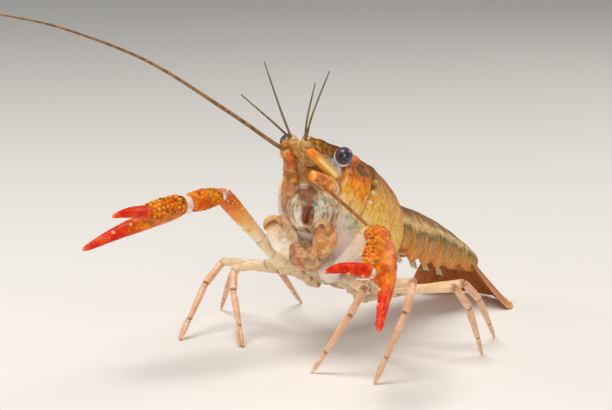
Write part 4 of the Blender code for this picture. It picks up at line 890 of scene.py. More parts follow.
def make_carapace(finish):
    """The shell from the waist to the brow, its rows gathered along the cervical groove."""
    batch = Batch()
    angles = [2 * pi * i / CARAPACE_COLUMNS for i in range(CARAPACE_COLUMNS)]
    grooves = [smooth(GROOVE, from_top(a)) for a in angles]
    fronts = []
    for angle in angles:
        degrees = from_top(angle)
        fronts.append(front_edge(angle).x - ORBIT_DEPTH * hill(degrees, ORBIT_DEGREES, ORBIT_WIDTH))
    rows = []
    total = CARAPACE_REAR_ROWS + CARAPACE_FRONT_ROWS
    for r in range(total + 1):
        row = []
        for angle, groove_x, front_x in zip(angles, grooves, fronts):
            degrees = from_top(angle)
            if r <= CARAPACE_REAR_ROWS:
                share = 1 - (1 - r / CARAPACE_REAR_ROWS) ** REAR_CROWDING
                x = REAR_X + (groove_x - REAR_X) * share
            else:
                share = ((r - CARAPACE_REAR_ROWS) / CARAPACE_FRONT_ROWS) ** FRONT_CROWDING
                x = groove_x + (front_x - groove_x) * share
            point = section_point(x, angle)
            outward = Vector((0, point.y, point.z)).normalized()
            relief = shell_relief(x, x - groove_x, degrees)
            edge = min(x - REAR_X, front_x - x)
            relief -= 0.35 * (1 - min(edge / 0.35, 1)) ** 2
            relief += 0.05 * noise.noise(Vector((x, point.y, point.z)) * 0.5)
            if edge < 0.5:
                relief = min(relief, 0.0)
            row.append((point + outward * relief, (x - groove_x, degrees, 0)))
        rows.append(row)
    first_row, last_row = rows[0], rows[-1]
    for shrink, inward in ((0.93, 0.2), (0.88, 1.2)):
        rows.append([(shrunk(point, -inward, shrink), mark) for point, mark in last_row])
    for shrink, inward in ((0.94, 0.15), (0.9, 1.0)):
        rows.insert(0, [(shrunk(point, inward, shrink), mark) for point, mark in first_row])
    add_ends(rows)
    skin(batch, rows)

    chance = random.Random(21)
    for side in SIDES.values():
        for x, degrees, reach, radius in CARAPACE_THORNS:
            place, outward = carapace_spot(x, degrees, side)
            thorn(batch, place, outward + Vector((1.1, 0, 0)), radius, reach, (x - 20, degrees, 0.5))
        for _ in range(70):
            x, degrees = chance.uniform(22.6, 28.6), chance.uniform(56, 128)
            if x > front_edge(radians(degrees)).x - 0.8 or x < smooth(GROOVE, degrees) + 0.6:
                continue
            shell_knob(batch, chance, x, degrees, side, (0.1, 0.2), 0.8, (0, 0, 0.5))
        for _ in range(260):
            x, degrees = chance.uniform(3.5, 26), chance.uniform(4, 120)
            if abs(x - smooth(GROOVE, degrees)) < 0.8:
                continue
            shell_knob(batch, chance, x, degrees, side, (0.06, 0.12), 0.5, (0, 0, 0, 0.6))
    put("carapace_shell", batch, finish, ["carapace"], in_trunk=True)


ROSTRUM_START, ROSTRUM_TIP = 25.6, 36.75  # x in the trunk frame
ROSTRUM_ROWS, ROSTRUM_SIDES = 64, 56


def make_rostrum(finish):
    """The beak between the eyes: a trough with raised rims that end in two spines and a point."""
    batch = Batch()
    rows = []
    for i in range(ROSTRUM_ROWS):
        x = ROSTRUM_START + (ROSTRUM_TIP - ROSTRUM_START) * i / (ROSTRUM_ROWS - 1)
        half, top = smooth(ROSTRUM_HALF_WIDTH, x), smooth(ROSTRUM_TOP, x)
        slim = min(1, half / 1.5)
        rim, trough, thick = 0.42 * slim, 0.35 * slim, 1.95 * (0.4 + 0.6 * slim)
        profile = (
            (0, top - trough), (0.35 * half, top - trough * 0.95), (0.66 * half, top - trough * 0.5),
            (0.84 * half, top + rim * 0.75), (0.9 * half, top + rim), (0.98 * half, top + rim * 0.7),
            (half, top + rim * 0.1), (0.98 * half, top - thick * 0.35), (0.88 * half, top - thick * 0.72),
            (0.6 * half, top - thick * 0.86), (0.3 * half, top - thick * 0.96), (0, top - thick),
        )
        outline = [(y, z) for y, z in profile] + [(-y, z) for y, z in profile[-2:0:-1]]
        ring = []
        for point in loop_points([(x, y, z) for y, z in outline], ROSTRUM_SIDES):
            y, z = point.yz
            on_rim = z > top + rim * 0.25
            degrees = 3 if on_rim else 12 if z > top - trough and abs(y) < half * 0.84 else 36
            if z < top - thick * 0.8:
                degrees = 118
            ring.append((point, (x - GROOVE[0][1], degrees, -1 if degrees == 36 else 0)))
        rows.append(ring)
    add_ends(rows)
    skin(batch, rows)
    chance = random.Random(5)
    for side in SIDES.values():
        thorn(batch, (35.2, 1.35 * side, 6.2), (1, 0.12 * side, 0.25), 0.22, 0.7, (20, 30, 0.6))
        for k in range(16):
            x = 27 + k * 0.55
            half = smooth(ROSTRUM_HALF_WIDTH, x)
            top = smooth(ROSTRUM_TOP, x)
            high, low = (x, half * 0.95 * side, top + 0.3), (x, half * 0.9 * side, top - 0.65)
            knob(batch, high, (0, 0.6 * side, 1), 0.1, 0.08, (16, 8, chance.choice((0, 0, 0.5))))
            knob(batch, low, (0, side, -0.3), 0.11, 0.07, (16, 40, chance.choice((0, 1))))
            for _ in range(5):
                root = Vector((x + chance.uniform(-0.25, 0.25), half * 0.8 * side, top - 0.8))
                reach = chance.uniform(0.3, 0.6)
                bristle(batch, root, (0.6, 0.7 * side, -0.8), reach, FINE_HAIR, (20, 110, 0))
    put("rostrum_shell", batch, finish, ["carapace"], in_trunk=True)


# ---- face and mouth
def mirrored(place, side):
    return Vector((place[0], place[1] * side, place[2]))


# centre, half sizes: upper lip, the two jaws, and a pad and a ridge beside them
FACE_LUMPS = (
    ((29.8, 0.35, -1.3), (1.9, 1.7, 1.5)),
    ((28.3, 0.5, -4.0), (1.0, 0.6, 1.9)),
    ((28.3, 1.5, -3.9), (1.0, 0.6, 1.8)),
    ((29.7, -1.9, 0.0), (0.55, 0.8, 0.42)),
    ((29.7, 2.8, 0.2), (0.55, 0.8, 0.42)),
    ((30.7, 0.2, 2.0), (1.4, 2.3, 1.3)),
    ((30.9, -2.7, -1.0), (1.6, 1.35, 1.8)),
    ((31.7, 4.5, -0.4), (1.3, 1.3, 1.1)),
    ((31.6, 1.6, 0.9), (1.1, 1.3, 0.8)),
)
# the flat lobes beside the mouth on the left, the outermost last: paths downwards
FACE_LEAVES = (
    ((28.4, 4.5, -0.4), (27.8, 5.0, -2.7), (27.1, 4.6, -4.9), (26.3, 3.6, -6.5)),
    ((28.9, 3.4, -0.9), (28.5, 3.8, -2.9), (27.8, 3.5, -5.0), (26.8, 2.6, -6.5)),
    ((29.3, 2.2, -1.4), (28.9, 2.6, -3.0), (28.3, 2.4, -4.8), (27.3, 1.6, -6.2)),
)
LEAF_SIZES = ((0.45, 0.2), (0.85, 0.34), (0.85, 0.32), (0.35, 0.15))
# steps ahead of the carapace's edge, and the share of its width there
FACE_PROFILE = (
    (0, -3.0, 0.8), (1, -1.2, 0.93), (2, -0.4, 0.94), (3, 0.3, 0.9), (4, 1.0, 0.8),
    (5, 1.7, 0.62), (6, 2.1, 0.4), (7, 2.25, 0.2), (8, 2.28, 0.04),
)


def folds(place):
    """Forward relief of the face: soft folds that run in arcs round the mouth, mm."""
    away = hypot(place.y - MOUTH[0], place.z - MOUTH[1])
    rise = 0.06 * sin(away * FOLDS + 5 * noise.noise(place * 0.4))
    return rise * ease(away, 1.6, 2.4) * (1 - ease(place.z, -0.9, 0.6)) + 0.12 * noise.noise(place * 0.8)


FACE_COLUMNS, FACE_ROWS = 150, 60
FACE_FRONT, FACE_BACK = FACE_PROFILE[-1][1], -3.2  # mm ahead of the carapace's edge


def make_face(finish):
    """The face closes the carapace's front; lumps and leaves make the mouth in its middle."""
    batch = Batch()
    edge = [front_edge(2 * pi * i / FACE_COLUMNS) for i in range(FACE_COLUMNS)]
    centre = sum(edge, Vector()) / FACE_COLUMNS
    ahead = Vector((1, 0, -BROW_SLOPE)).normalized()
    rows = [[(centre + ahead * FACE_BACK, (0, 0, 0))] * FACE_COLUMNS]
    for i in range(FACE_ROWS + 1):
        step, scale = rail(FACE_PROFILE, FACE_PROFILE[-1][0] * i / FACE_ROWS)
        ring = []
        for point in edge:
            place = centre + (point - centre) * scale + ahead * step
            ring.append((place + ahead * (folds(place) * ease(step, -0.4, 0.6)), (0, 0, 0)))
        rows.append(ring)
    rows.append([(centre + ahead * FACE_FRONT, (0, 0, 0))] * FACE_COLUMNS)
    skin(batch, rows)
    for place, radii in FACE_LUMPS:
        lump(batch, place, radii, Matrix.Rotation(0.3, 4, "Y"), across=36, rows=24)
    for path in FACE_LEAVES:
        for side in SIDES.values():
            points = [Vector((x, MOUTH[0] + (y - MOUTH[0]) * side, z)) for x, y, z in path]
            limb(batch, points, LEAF_SIZES, Vector((1, 0, 0)), 28, 0.12, (0.4, 0.4), 0.05)
    chance = random.Random(9)
    for _ in range(110):
        y = chance.uniform(-1.6, 3.0)
        root = Vector((28.3 - abs(y - 0.8) * 0.3, y, chance.uniform(-6.6, -5.2)))
        way = Vector((1, (0.8 - y) * 0.6 + chance.uniform(-0.4, 0.4), chance.uniform(-0.5, 0.5)))
        bristle(batch, root, way, chance.uniform(0.4, 0.9), HAIR, (28, y, -7))
    put("face_and_mandibles", batch, finish, ["face"],
        in_trunk=True, mark_by_place=True)


# the broad base and the palp that turns in over the mouth: paths, (half across, half up)
MAXILLIPED_BASE = {
    "left": (
        ((23.7, 2.9, -9.4), (26.8, 4.4, -6.6), (28.7, 4.6, -4.9)),
        ((1.3, 1.1), (1.95, 1.25), (1.4, 1.1)),
    ),
    "right": (
        ((23.0, -0.6, -10.2), (26.9, -2.5, -8.5), (29.6, -3.9, -6.7)),
        ((0.85, 1.35), (1.1, 2.6), (1.0, 1.9)),
    ),
}
MAXILLIPED_PALP = {
    "left": ((28.2, 5.4, -6.8), (29.0, 5.1, -5.3), (29.5, 3.9, -4.8), (29.2, 3.0, -6.2)),
    "right": ((29.2, -4.7, -8.7), (30.1, -4.7, -7.4), (30.5, -3.3, -6.6), (30.1, -1.9, -7.3)),
}
PALP_RADII = (0.2, 0.36, 0.44, 0.46, 0.46, 0.46, 0.46, 0.46, 0.44, 0.42, 0.38, 0.3, 0.18)
PALP_HAIR_SPREAD = ((0.0, 0.6), (-0.5, 0.5), (-0.6, 0.6))  # forward, aside, up
MAXILLIPED_TONE = {"left": 1.0, "right": 0.0}  # how brown the mouthpart is


# the pair of lobes under the mouth, mm from its middle line
INNER_LOBE = ((22.2, 1.0, -11.0), (23.8, 1.4, -10.5), (25.2, 1.5, -9.6), (26.3, 1.35, -8.8))
INNER_LOBE_RADII = (1.0, 1.25, 1.2, 0.9)


def make_maxillipeds(finish):
    """The hairy limbs that close the mouth from below."""
    for side_name, side in SIDES.items():
        path, sizes = MAXILLIPED_BASE[side_name]
        tone = MAXILLIPED_TONE[side_name]
        chance = random.Random(31)
        batch = Batch()
        limb(batch, path, sizes, UP, 48, 0.12, (0.8, 0.8), 0.03, tone)
        root, middle, knee = (Vector(p) for p in path)
        points = [Vector(p) for p in MAXILLIPED_PALP[side_name]]
        limb(batch, curve_points(points, 13), PALP_RADII, UP, 32, 0.08, (0.3, 0.2), 0.03, 1.0)
        inward = Vector((0, -side, 0))
        for k in range(150):
            t = chance.random()
            if k % 3 == 0:
                spot = middle.lerp(knee, t) + inward * (sizes[1][0] * 0.85)
                spot += UP * chance.uniform(-0.4, 0.6)
            else:
                j = chance.choice((1, 2))
                spot = points[j].lerp(points[j + 1], t) + inward * 0.2 - UP * chance.uniform(0.0, 0.5)
            way = inward + Vector([chance.uniform(*span) for span in PALP_HAIR_SPREAD])
            bristle(batch, spot, way, chance.uniform(0.4, 0.9), HAIR, (0.5, 0, 2))
        outer = root + Vector((0.2, side * 1.2, 0.3))
        path = [outer, outer + Vector((1.6, side * 0.6, 1.2)), outer + Vector((3.4, side * 0.5, 2.6))]
        limb(batch, path, (0.4, 0.42, 0.14), sides=16, tag=tone)
        put(f"maxilliped_{side_name}", batch, finish,
            [f"maxilliped_{side_name}_base", f"maxilliped_{side_name}_palp"], in_trunk=True)


def make_inner_mouthparts(finish):
    """The brown base under the mouth and its pair of hairy lobes."""
    batch = Batch()
    chance = random.Random(77)
    lump(batch, (24.3, 1.0, -10.5), (2.3, 3.0, 1.35), Matrix.Rotation(-0.5, 4, "Y"), (0.5, 0, 2), 40, 28)
    for side in SIDES.values():
        points = [Vector((x, 1.0 + y * side, z)) for x, y, z in INNER_LOBE]
        limb(batch, points, INNER_LOBE_RADII, UP, 32, 0.12, (0.5, 0.8), 0.08, 2.0)
        for _ in range(40):
            spot = points[2].lerp(points[3], chance.random())
            way = Vector((0.9, -side * chance.uniform(0.1, 0.9), chance.uniform(-0.3, 0.9)))
            bristle(batch, spot, way, chance.uniform(0.4, 0.8), HAIR, (0.5, 0, 2))
    put("inner_mouthparts", batch, finish, [], in_trunk=True)


STERNUM_REAR, STERNUM_FRONT, STERNUM_ROWS, STERNUM_SIDES = 3.7, 24.1, 90, 48
# x, half width, depth
STERNUM_SIZES = (
    (3.6, 0.8, 0.4), (4.4, 1.9, 1.2), (6.5, 2.8, 2.0), (14, 3.0, 2.0),
    (21.5, 2.8, 1.9), (23.6, 1.9, 1.2), (24.2, 0.8, 0.5),
)
LEG_REAR_X, LEG_SPACING = 5.2, 3.8


def make_sternum(finish):
    """The keel between the legs, a little wider where each pair leaves."""
    batch = Batch()
    rows = []
    for i in range(STERNUM_ROWS):
        x = STERNUM_REAR + (STERNUM_FRONT - STERNUM_REAR) * i / (STERNUM_ROWS - 1)
        half, depth = rail(STERNUM_SIZES, x)
        between = cos((x - LEG_REAR_X) / LEG_SPACING * 2 * pi)  # 1 where a leg pair leaves
        half *= 1 + 0.06 * between
        roof = -0.95 * smooth(BOTTOM, x) - 0.1
        keel = roof - depth * (0.93 + 0.07 * between)
        outline = (
            (0, roof), (half * 0.8, roof), (half, roof - 0.4), (half, keel + 0.6),
            (half * 0.85, keel + 0.2), (half * 0.5, keel), (half * 0.15, keel - 0.05), (0, keel + 0.25),
        )
        loop = [(x, y, z) for y, z in outline] + [(x, -y, z) for y, z in outline[-2:0:-1]]
        rows.append([(point, (0, 0, 0)) for point in loop_points(loop, STERNUM_SIDES)])
    add_ends(rows)
    skin(batch, rows)
    put("sternum_plates", batch, finish, ["sternum"],
        in_trunk=True, mark_by_place=True)


# ---- eyes
PUPIL_LOOK = {"left": Vector((0.447, -0.877, 0.22)), "right": Vector((-0.7, -0.5, 0.3))}


def make_eyes(cornea, stalk_shell):
    """A dark eye whose pupil looks one way, on its stalk."""
    for side_name, side in SIDES.items():
        centre, root = EYE_CENTRE[side_name], mirrored(STALK_ROOT, side)
        outward = (centre - root).normalized()
        batch = Batch()
        turn = facing(centre, outward)
        radius = EYE_RADIUS * 0.99
        ball = bmesh.ops.create_uvsphere(batch.bm, u_segments=64, v_segments=40, radius=radius)
        verts = ball["verts"]
        layer = batch.bm.verts.layers.float_vector["mark"]
        look = (TRUNK.to_3x3() @ turn.to_3x3()).inverted() @ PUPIL_LOOK[side_name]
        look.normalize()
        for vert in verts:
            vert[layer] = (0, 0, vert.co.normalized().dot(look))
            vert.co.z *= 1.0 if vert.co.z > 0 else 0.8
        bmesh.ops.transform(batch.bm, matrix=turn, verts=verts)
        put(f"eye_{side_name}_cornea", batch, cornea, [f"eye_{side_name}"], in_trunk=True)

        batch = Batch()
        end = centre - outward * 0.55
        start = root - outward * 0.7
        path = [start, root.lerp(end, 0.4), root.lerp(end, 0.75), end]
        limb(batch, path, (0.8, 0.95, 1.2, 1.47), UP, 32, 0.12, (0.3, 0.1), 0.05)
        put(f"eyestalk_{side_name}_shell", batch, stalk_shell,
            [f"eyestalk_{side_name}"], in_trunk=True)


# ---- antennae and antennules
ANTENNA_BASE = {
    "left": ((31.4, 4.8, 0.05), (34.3, 4.75, 0.15), (37.0, 4.5, -0.1), (39.5, 4.3, -0.45)),
    "right": ((30.9, -2.6, -0.7), (34.2, -2.35, 1.15), (36.2, -2.25, 2.15), (38.0, -2.55, 2.75)),
}
STEM_PLAIN = {"left": 0.0, "right": 1.0}
STEM_RADIUS = ((0, 1.2), (0.33, 1.26), (0.67, 1.04), (1, 0.84))
STEM_JOINTS = ((0, 0.5), (0.44, 0.76), (0.7, 1.0))
SCALE_RIB = {
    "left": ((33.0, 5.0, 2.0), (40.0, 2.4, 3.1)),
    "right": ((33.0, -4.7, 3.0), (38.7, -2.5, 3.75)),
}
# share along the rib: its half thickness, reach of the blade towards the midline
SCALE_SECTIONS = (
    (0, 0.74, 0.8), (0.15, 0.82, 1.0), (0.45, 0.82, 1.1),
    (0.75, 0.78, 1.0), (0.92, 0.7, 0.8), (1, 0.58, 0.6),
)
FLAGELLUM_RADII = {"left": (0.33, 0.2), "right": (0.35, 0.15)}
FLAGELLUM = {
    "left": (
        (7.0, -33.5, 29.0), (11.3, -28.4, 22.8), (13.4, -28.1, 18.4), (13.6, -28.6, 13.2),
        (12.5, -29.5, 8.0),
    ),
    "right": (
        (-4.9, -31.8, 36.4), (-12.1, -32.5, 40.7), (-26.4, -33.0, 47.9), (-42.4, -33.0, 52.4),
        (-55.2, -32.0, 54.0),
    ),
}
ANTENNULE_BASE = {
    "left": ((33.4, 1.0, 3.2), (36.8, 1.0, 3.8), (39.6, 0.9, 4.3)),
    "right": ((33.4, -1.0, 2.9), (36.6, -1.2, 3.6), (39.6, -1.35, 4.3)),
}
FEELER_STEM_RADII = (0.74, 0.86, 0.9, 0.82, 0.88, 0.92, 0.84, 0.88, 0.9, 0.7)
ANTENNULE_TIPS = {
    "left": ((41.0, 1.2, 16.1), (43.0, 0.6, 13.1)),
    "right": ((46.5, -7.3, 13.4), (47.0, -8.6, 7.1)),
}


def curve_points(points, count):
    """Evenly stepped points of a smooth curve through the given ones."""
    points = [Vector(p) for p in points]
    spans = len(points) - 1
    result = []
    for i in range(count):
        place = spans * i / (count - 1)
        k = min(int(place), spans - 1)
        t = place - k
        p1, p2 = points[k], points[k + 1]
        p0 = points[k - 1] if k > 0 else p1 * 2 - p2
        p3 = points[k + 2] if k + 2 <= spans else p2 * 2 - p1
        result.append(
            (p1 * 2 + (p2 - p0) * t + (p0 * 2 - p1 * 5 + p2 * 4 - p3) * t * t
             + (p1 * 3 - p0 - p2 * 3 + p3) * t * t * t) / 2
        )
    return result


def thread(batch, points, radii, ring=0.5, sides=10):
    """A jointed feeler: a swelling for each ring of its shell. Marks end with its length in mm."""
    rows_in = course(points)
    length = rows_in[-1][0]
    count = max(8, round(length / ring) * 3)
    rows = []
    for i in range(count + 1):
        distance = length * i / count
        centre = Vector(rail(rows_in, distance))
        ahead = Vector(rail(rows_in, min(distance + 0.2, length)))
        behind = Vector(rail(rows_in, max(distance - 0.2, 0)))
        way = (ahead - behind).normalized()
        across = way.cross(Vector((0.3, 0.2, 1))).normalized()
        normal = across.cross(way)
        radius = radii[0] + (radii[1] - radii[0]) * distance / length
        radius *= (1.05, 0.98, 0.9)[i % 3]
        if i in (0, count):
            radius = 0
        circle = []
        for k in range(sides):
            angle = 2 * pi * k / sides
            offset = across * cos(angle) + normal * sin(angle)
            circle.append((centre + offset * radius, (distance / length, sin(angle), length)))
        rows.append(circle)
    skin(batch, rows)


def make_antenna_stem(side_name, finish, path):
    """The stout stem, with granules round it."""
    batch = Batch()
    rows = course(path)
    for first, last in STEM_JOINTS:
        shares = [first + (last - first) * k / 3 for k in range(4)]
        points = [point_at(rows, share) for share in shares]
        radii = [smooth(STEM_RADIUS, share) * (1 if k else 0.93) for k, share in enumerate(shares)]
        limb(batch, points, radii, UP, 36, 0.12, (0.4, 0.22), 0.06)
    bm = batch.gathered()
    layer = bm.verts.layers.float_vector["mark"]
    way = (path[-1] - path[0]).normalized()
    for vert in bm.verts:
        share = (vert.co - path[0]).dot(way) / (path[-1] - path[0]).length
        vert[layer] = (share, vert[layer].y, STEM_PLAIN[side_name])
    chance = random.Random(13)
    for _ in range(30):
        t = chance.uniform(0.05, 0.6)
        outward = round_way(-way, way.cross(UP).normalized(), chance.uniform(0, 2 * pi))
        place = point_at(rows, t) + outward * (smooth(STEM_RADIUS, t) - 0.04)
        knob(batch, place, outward, 0.1, 0.09, (t, 0, STEM_PLAIN[side_name]))
    put(f"antenna_{side_name}_stem", batch, finish, [f"antenna_base_{side_name}"])


def make_antenna_scale(side_name, finish):
    """The rod above the stem: a rib with a narrow blade on its inner side."""
    side = SIDES[side_name]
    batch = Batch()
    rib_root, rib_tip = (Vector(p) for p in SCALE_RIB[side_name])
    tan_tip = float(side_name == "right")
    inward = Vector((0, -side, 0))
    length = (rib_tip - rib_root).length
    way = (rib_tip - rib_root).normalized()
    upward = way.cross(inward).normalized() * -side
    rows = []
    for distance in stations(length, 0.15, 0.5, 0.5):
        share = distance / length
        scaled = end_scale(distance, length, 0.5, 0.5)
        thick, reach = (size * scaled for size in rail(SCALE_SECTIONS, share))
        rib = rib_root.lerp(rib_tip, share)
        outline = ((-1.0, 0.0), (-0.72, 0.72), (0.0, 1.0), (0.6, 0.72), (1.0, 0.42))
        upper = [rib + inward * (a * thick) + upward * (b * thick) for a, b in outline]
        lower = [rib + inward * (a * thick) - upward * (b * thick) for a, b in outline[::-1]]
        edge = max(reach, thick * 1.05)
        blade = [
            rib + inward * (edge * 0.95) + upward * (0.3 * thick),
            rib + inward * (edge + 0.1 * thick),
            rib + inward * (edge * 0.95) - upward * (0.3 * thick),
        ]
        if thick < 0.01:
            ring = [(rib, (share, 0, tan_tip))] * 36
        else:
            ring = [
                (point, (share, (point - rib).dot(upward) / thick, tan_tip))
                for point in loop_points([*upper, *blade, *lower[:-1]], 36)
            ]
        rows.append(ring)
    skin(batch, rows)
    thorn(batch, rib_tip - way * 0.3, way - inward * 0.15, 0.2, 0.35, (1, 1, tan_tip))
    chance = random.Random(17)
    for k in range(60):
        share = 0.1 + 0.85 * k / 60
        reach = rail(SCALE_SECTIONS, share)[1]
        root = rib_root.lerp(rib_tip, share) + inward * (reach - 0.05)
        lean = way + inward * chance.uniform(0.5, 1.0)
        bristle(batch, root, lean, chance.uniform(0.3, 0.6), FINE_HAIR, (0.2, 0, 0))
    put(f"antenna_{side_name}_scale", batch, finish,
        [f"antenna_scale_{side_name}"], in_trunk=True)


def make_long_feeler(side_name, finish, path):
    """The long feeler that goes on from the stem."""
    batch = Batch()
    out = (path[-1] - path[-2]).normalized()
    points = curve_points([path[-1] - out * 0.3, *FLAGELLUM[side_name]], 60)
    thread(batch, points, FLAGELLUM_RADII[side_name], 0.42)
    put(f"antenna_{side_name}_flagellum", batch, finish,
        [f"flagellum_{side_name}_near", f"flagellum_{side_name}_far"])


def make_antennae(stem, scale, feelers):
    """For each side the stem, the scale above it and the long feeler."""
    for side_name in SIDES:
        path = [trunk_point(*p) for p in ANTENNA_BASE[side_name]]
        make_antenna_stem(side_name, stem, path)
        make_antenna_scale(side_name, scale)
        make_long_feeler(side_name, feelers[side_name], path)


def make_antennules(stem, feeler):
    """The pair of short stems between the eyes, each with two threads."""
    for side_name in SIDES:
        base = [Vector(p) for p in ANTENNULE_BASE[side_name]]
        batch = Batch()
        limb(batch, curve_points(base, 10), FEELER_STEM_RADII, UP, 28, 0.1, (0.3, 0.35), 0.1)
        if side_name == "left":
            web = Matrix.Rotation(-0.175, 4, "Y")
            lump(batch, (35.6, -0.1, 3.5), (3.9, 1.15, 0.95), web, (0.4, 0, 0), 32, 24)
        node = f"antennule_{side_name}"
        put(f"{node}_stem", batch, stem, [node], in_trunk=True)
        batch = Batch()
        tip = base[-1]
        sink = tip - (tip - base[-2]).normalized() * 0.5
        for end in ANTENNULE_TIPS[side_name]:
            knee = tip.lerp(Vector(end), 0.35) + Vector((0.5, 0, 0))
            thread(batch, curve_points([sink, knee, end], 24), (0.21, 0.1), 0.4, 8)
        put(f"{node}_flagella", batch, feeler, [node], in_trunk=True)


# ---- walking legs
LEG_ROOT_X = {2: 16.6, 3: 12.8, 4: 9.0, 5: 5.2}
LEG_STANCE = {
    ("left", 2): ((11.6, -31.8, 14.2), (2.8, -32.5)),
    ("left", 3): ((18.1, -27.5, 15.1), (14.8, -34.6)),
    ("left", 4): ((21.1, -18.2, 12.8), (21.8, -8.7)),
    ("left", 5): ((18.8, -9.4, 11.7), (18.8, 3.7)),
    ("right", 2): ((-20.8, -14.6, 11.4), (-15.0, -22.2)),
    ("right", 3): ((-25.2, -10.5, 11.4), (-26.6, -22.7)),
    ("right", 4): ((-23.4, -7.0, 10.5), (-32.0, 1.0)),
    ("right", 5): ((-20.0, -1.0, 10.0), (-22.0, 12.5)),
}
LEG_ROOT, LEG_COXA = (3.3, -9.9), (5.4, -10.0)  # mm aside and up in the trunk frame
LIMB_SIDES = 20
UPPER_LEG, LOWER_LEG = 1, 2  # marks for the paler and the browner pieces
COXA_RADII = (0.95, 1.02, 0.95)
# from the hip to the ankle: radii at the start, middle and end, mark
LEG_PIECES = (
    (0.75, 0.72, 0.7, UPPER_LEG),
    (0.62, 0.68, 0.74, UPPER_LEG),
    (0.66, 0.78, 0.7, UPPER_LEG),
    (0.6, 0.62, 0.64, LOWER_LEG),
    (0.55, 0.54, 0.44, LOWER_LEG),
)
LOWEST_BRISTLE = 1.0  # mm above the floor


def segment(batch, first, last, sizes, kind):
    """One piece of a leg, a little wider where it meets the next."""
    points = [first.lerp(last, share) for share in (0, 0.12, 0.5, 0.88, 1)]
    start, middle, end = sizes
    radii = (start * 0.92, start, middle, end, end)
    limb(batch, points, radii, Vector((0.2, 0.1, 1)), LIMB_SIDES, 0.3, (0.25, 0.25), 0.07, kind)


def make_legs(finish):
    """Eight walking legs; the second and third pairs end in small pincers."""
    chance = random.Random(41)
    for (side_name, pair), (knee, foot_xy) in LEG_STANCE.items():
        side = SIDES[side_name]
        knee, foot = Vector(knee), Vector((*foot_xy, 0))
        x = LEG_ROOT_X[pair]
        root, coxa = (TRUNK @ mirrored((x, *place), side) for place in (LEG_ROOT, LEG_COXA))
        wrist = knee.lerp(foot, 0.33) + Vector((side * 0.7, 0, 0.6))
        ankle = knee.lerp(foot, 0.76) + Vector((side * 0.3, 0, 0.3))
        hip = coxa.lerp(knee, 0.14)
        ischium = coxa.lerp(knee, 0.34)
        batch = Batch()
        segment(batch, root, coxa + (coxa - root).normalized() * 0.5, COXA_RADII, UPPER_LEG)
        joints = (coxa, hip, ischium, knee, wrist, ankle)
        for first, last, (*sizes, kind) in zip(joints, joints[1:], LEG_PIECES):
            segment(batch, first, last, sizes, kind)
        toe = foot + Vector((0, 0, 0.12))
        path = [ankle, ankle.lerp(toe, 0.5), toe]
        limb(batch, path, (0.38, 0.34, 0.2), UP, 14, 0.3, (0.2, 0.12), 0.05, LOWER_LEG)
        way = (foot - ankle).normalized()
        if pair in (2, 3):
            aside = way.cross(UP).normalized() * 0.5
            path = [
                ankle - way * 0.7, ankle + way * 0.6 + aside * 0.8,
                ankle.lerp(foot, 0.6) + aside, ankle.lerp(foot, 0.92) + aside * 0.75,
            ]
            limb(batch, path, (0.3, 0.34, 0.26, 0.14), UP, 12, 0.3, (0.15, 0.1), 0.0, LOWER_LEG)
        for k in range(46):
            t = chance.uniform(0.55, 1.0) if k % 3 else chance.uniform(0.0, 0.6)
            spot = wrist.lerp(ankle, t * 1.6) if t < 0.6 else ankle.lerp(foot, (t - 0.6) / 0.44)
            if spot.z < LOWEST_BRISTLE:
                continue
            outward = round_way(-way, way.cross(UP).normalized(), chance.uniform(0, 2 * pi))
            reach = chance.uniform(0.35, 0.7)
            bristle(batch, spot + outward * 0.32, outward + way * 1.2, reach, HAIR, (0, 0, LOWER_LEG))
        nodes = [f"leg_{side_name}_{pair}_upper", f"leg_{side_name}_{pair}_lower"]
        put(f"leg_{side_name}_{pair}", batch, finish, nodes)


# ---- claw arms
CHELIPED_STANCE = {
    "left": {
        "elbow": (13.3, -33.1, 23.3), "wrist": (17.6, -37.9, 23.8), "tip": (23.7, -52.2, 12.9),
        "finger tip": (15.5, -53.2, 21.2), "opening": (-0.63, -0.625, 0.465), "bow": 0.1,
    },
    "right": {
        "elbow": (-12.9, -32.5, 27.2), "wrist": (-16.2, -38.1, 26.5), "tip": (-26.0, -53.4, 20.8),
        "finger tip": (-19.5, -54.8, 26.8), "opening": (0.557, -0.575, 0.6), "bow": 1.6,
    },
}
HAND_LENGTH = 19.0
# mm along, shift towards the opening, half depth, half thickness
HAND = (
    (0.0, 0.0, 1.15, 1.05), (0.9, 0.05, 1.8, 1.4), (2.6, 0.1, 2.45, 1.7), (5.2, 0.2, 2.8, 1.8),
    (7.2, 0.2, 2.72, 1.75), (7.9, -0.1, 2.4, 1.65), (8.6, -0.95, 1.4, 1.42), (11.0, -0.95, 1.05, 1.2),
    (14.0, -0.55, 0.85, 0.95), (17.0, -0.25, 0.6, 0.65), (18.6, -0.05, 0.35, 0.36),
    (19.0, 0.0, 0.2, 0.2),
)
FINGER = (
    (0.0, 0.0, 0.85, 1.0), (1.0, 0.1, 1.1, 1.2), (3.0, 0.4, 1.0, 1.05), (6.0, 0.65, 0.85, 0.85),
    (8.6, 0.45, 0.58, 0.6), (10.1, 0.1, 0.34, 0.36), (10.6, -0.15, 0.2, 0.2),
)
FINGER_LENGTH = FINGER[-1][0]
FINGER_ROOT, FINGER_SEAT = 7.8, 1.6  # mm along the hand and out from its middle
ARM_ROOT, ARM_COXA = (20.5, 3.3, -10.4), (21.1, 5.2, -10.7)  # left side, in the trunk frame
TOOTH_STEP = 0.62


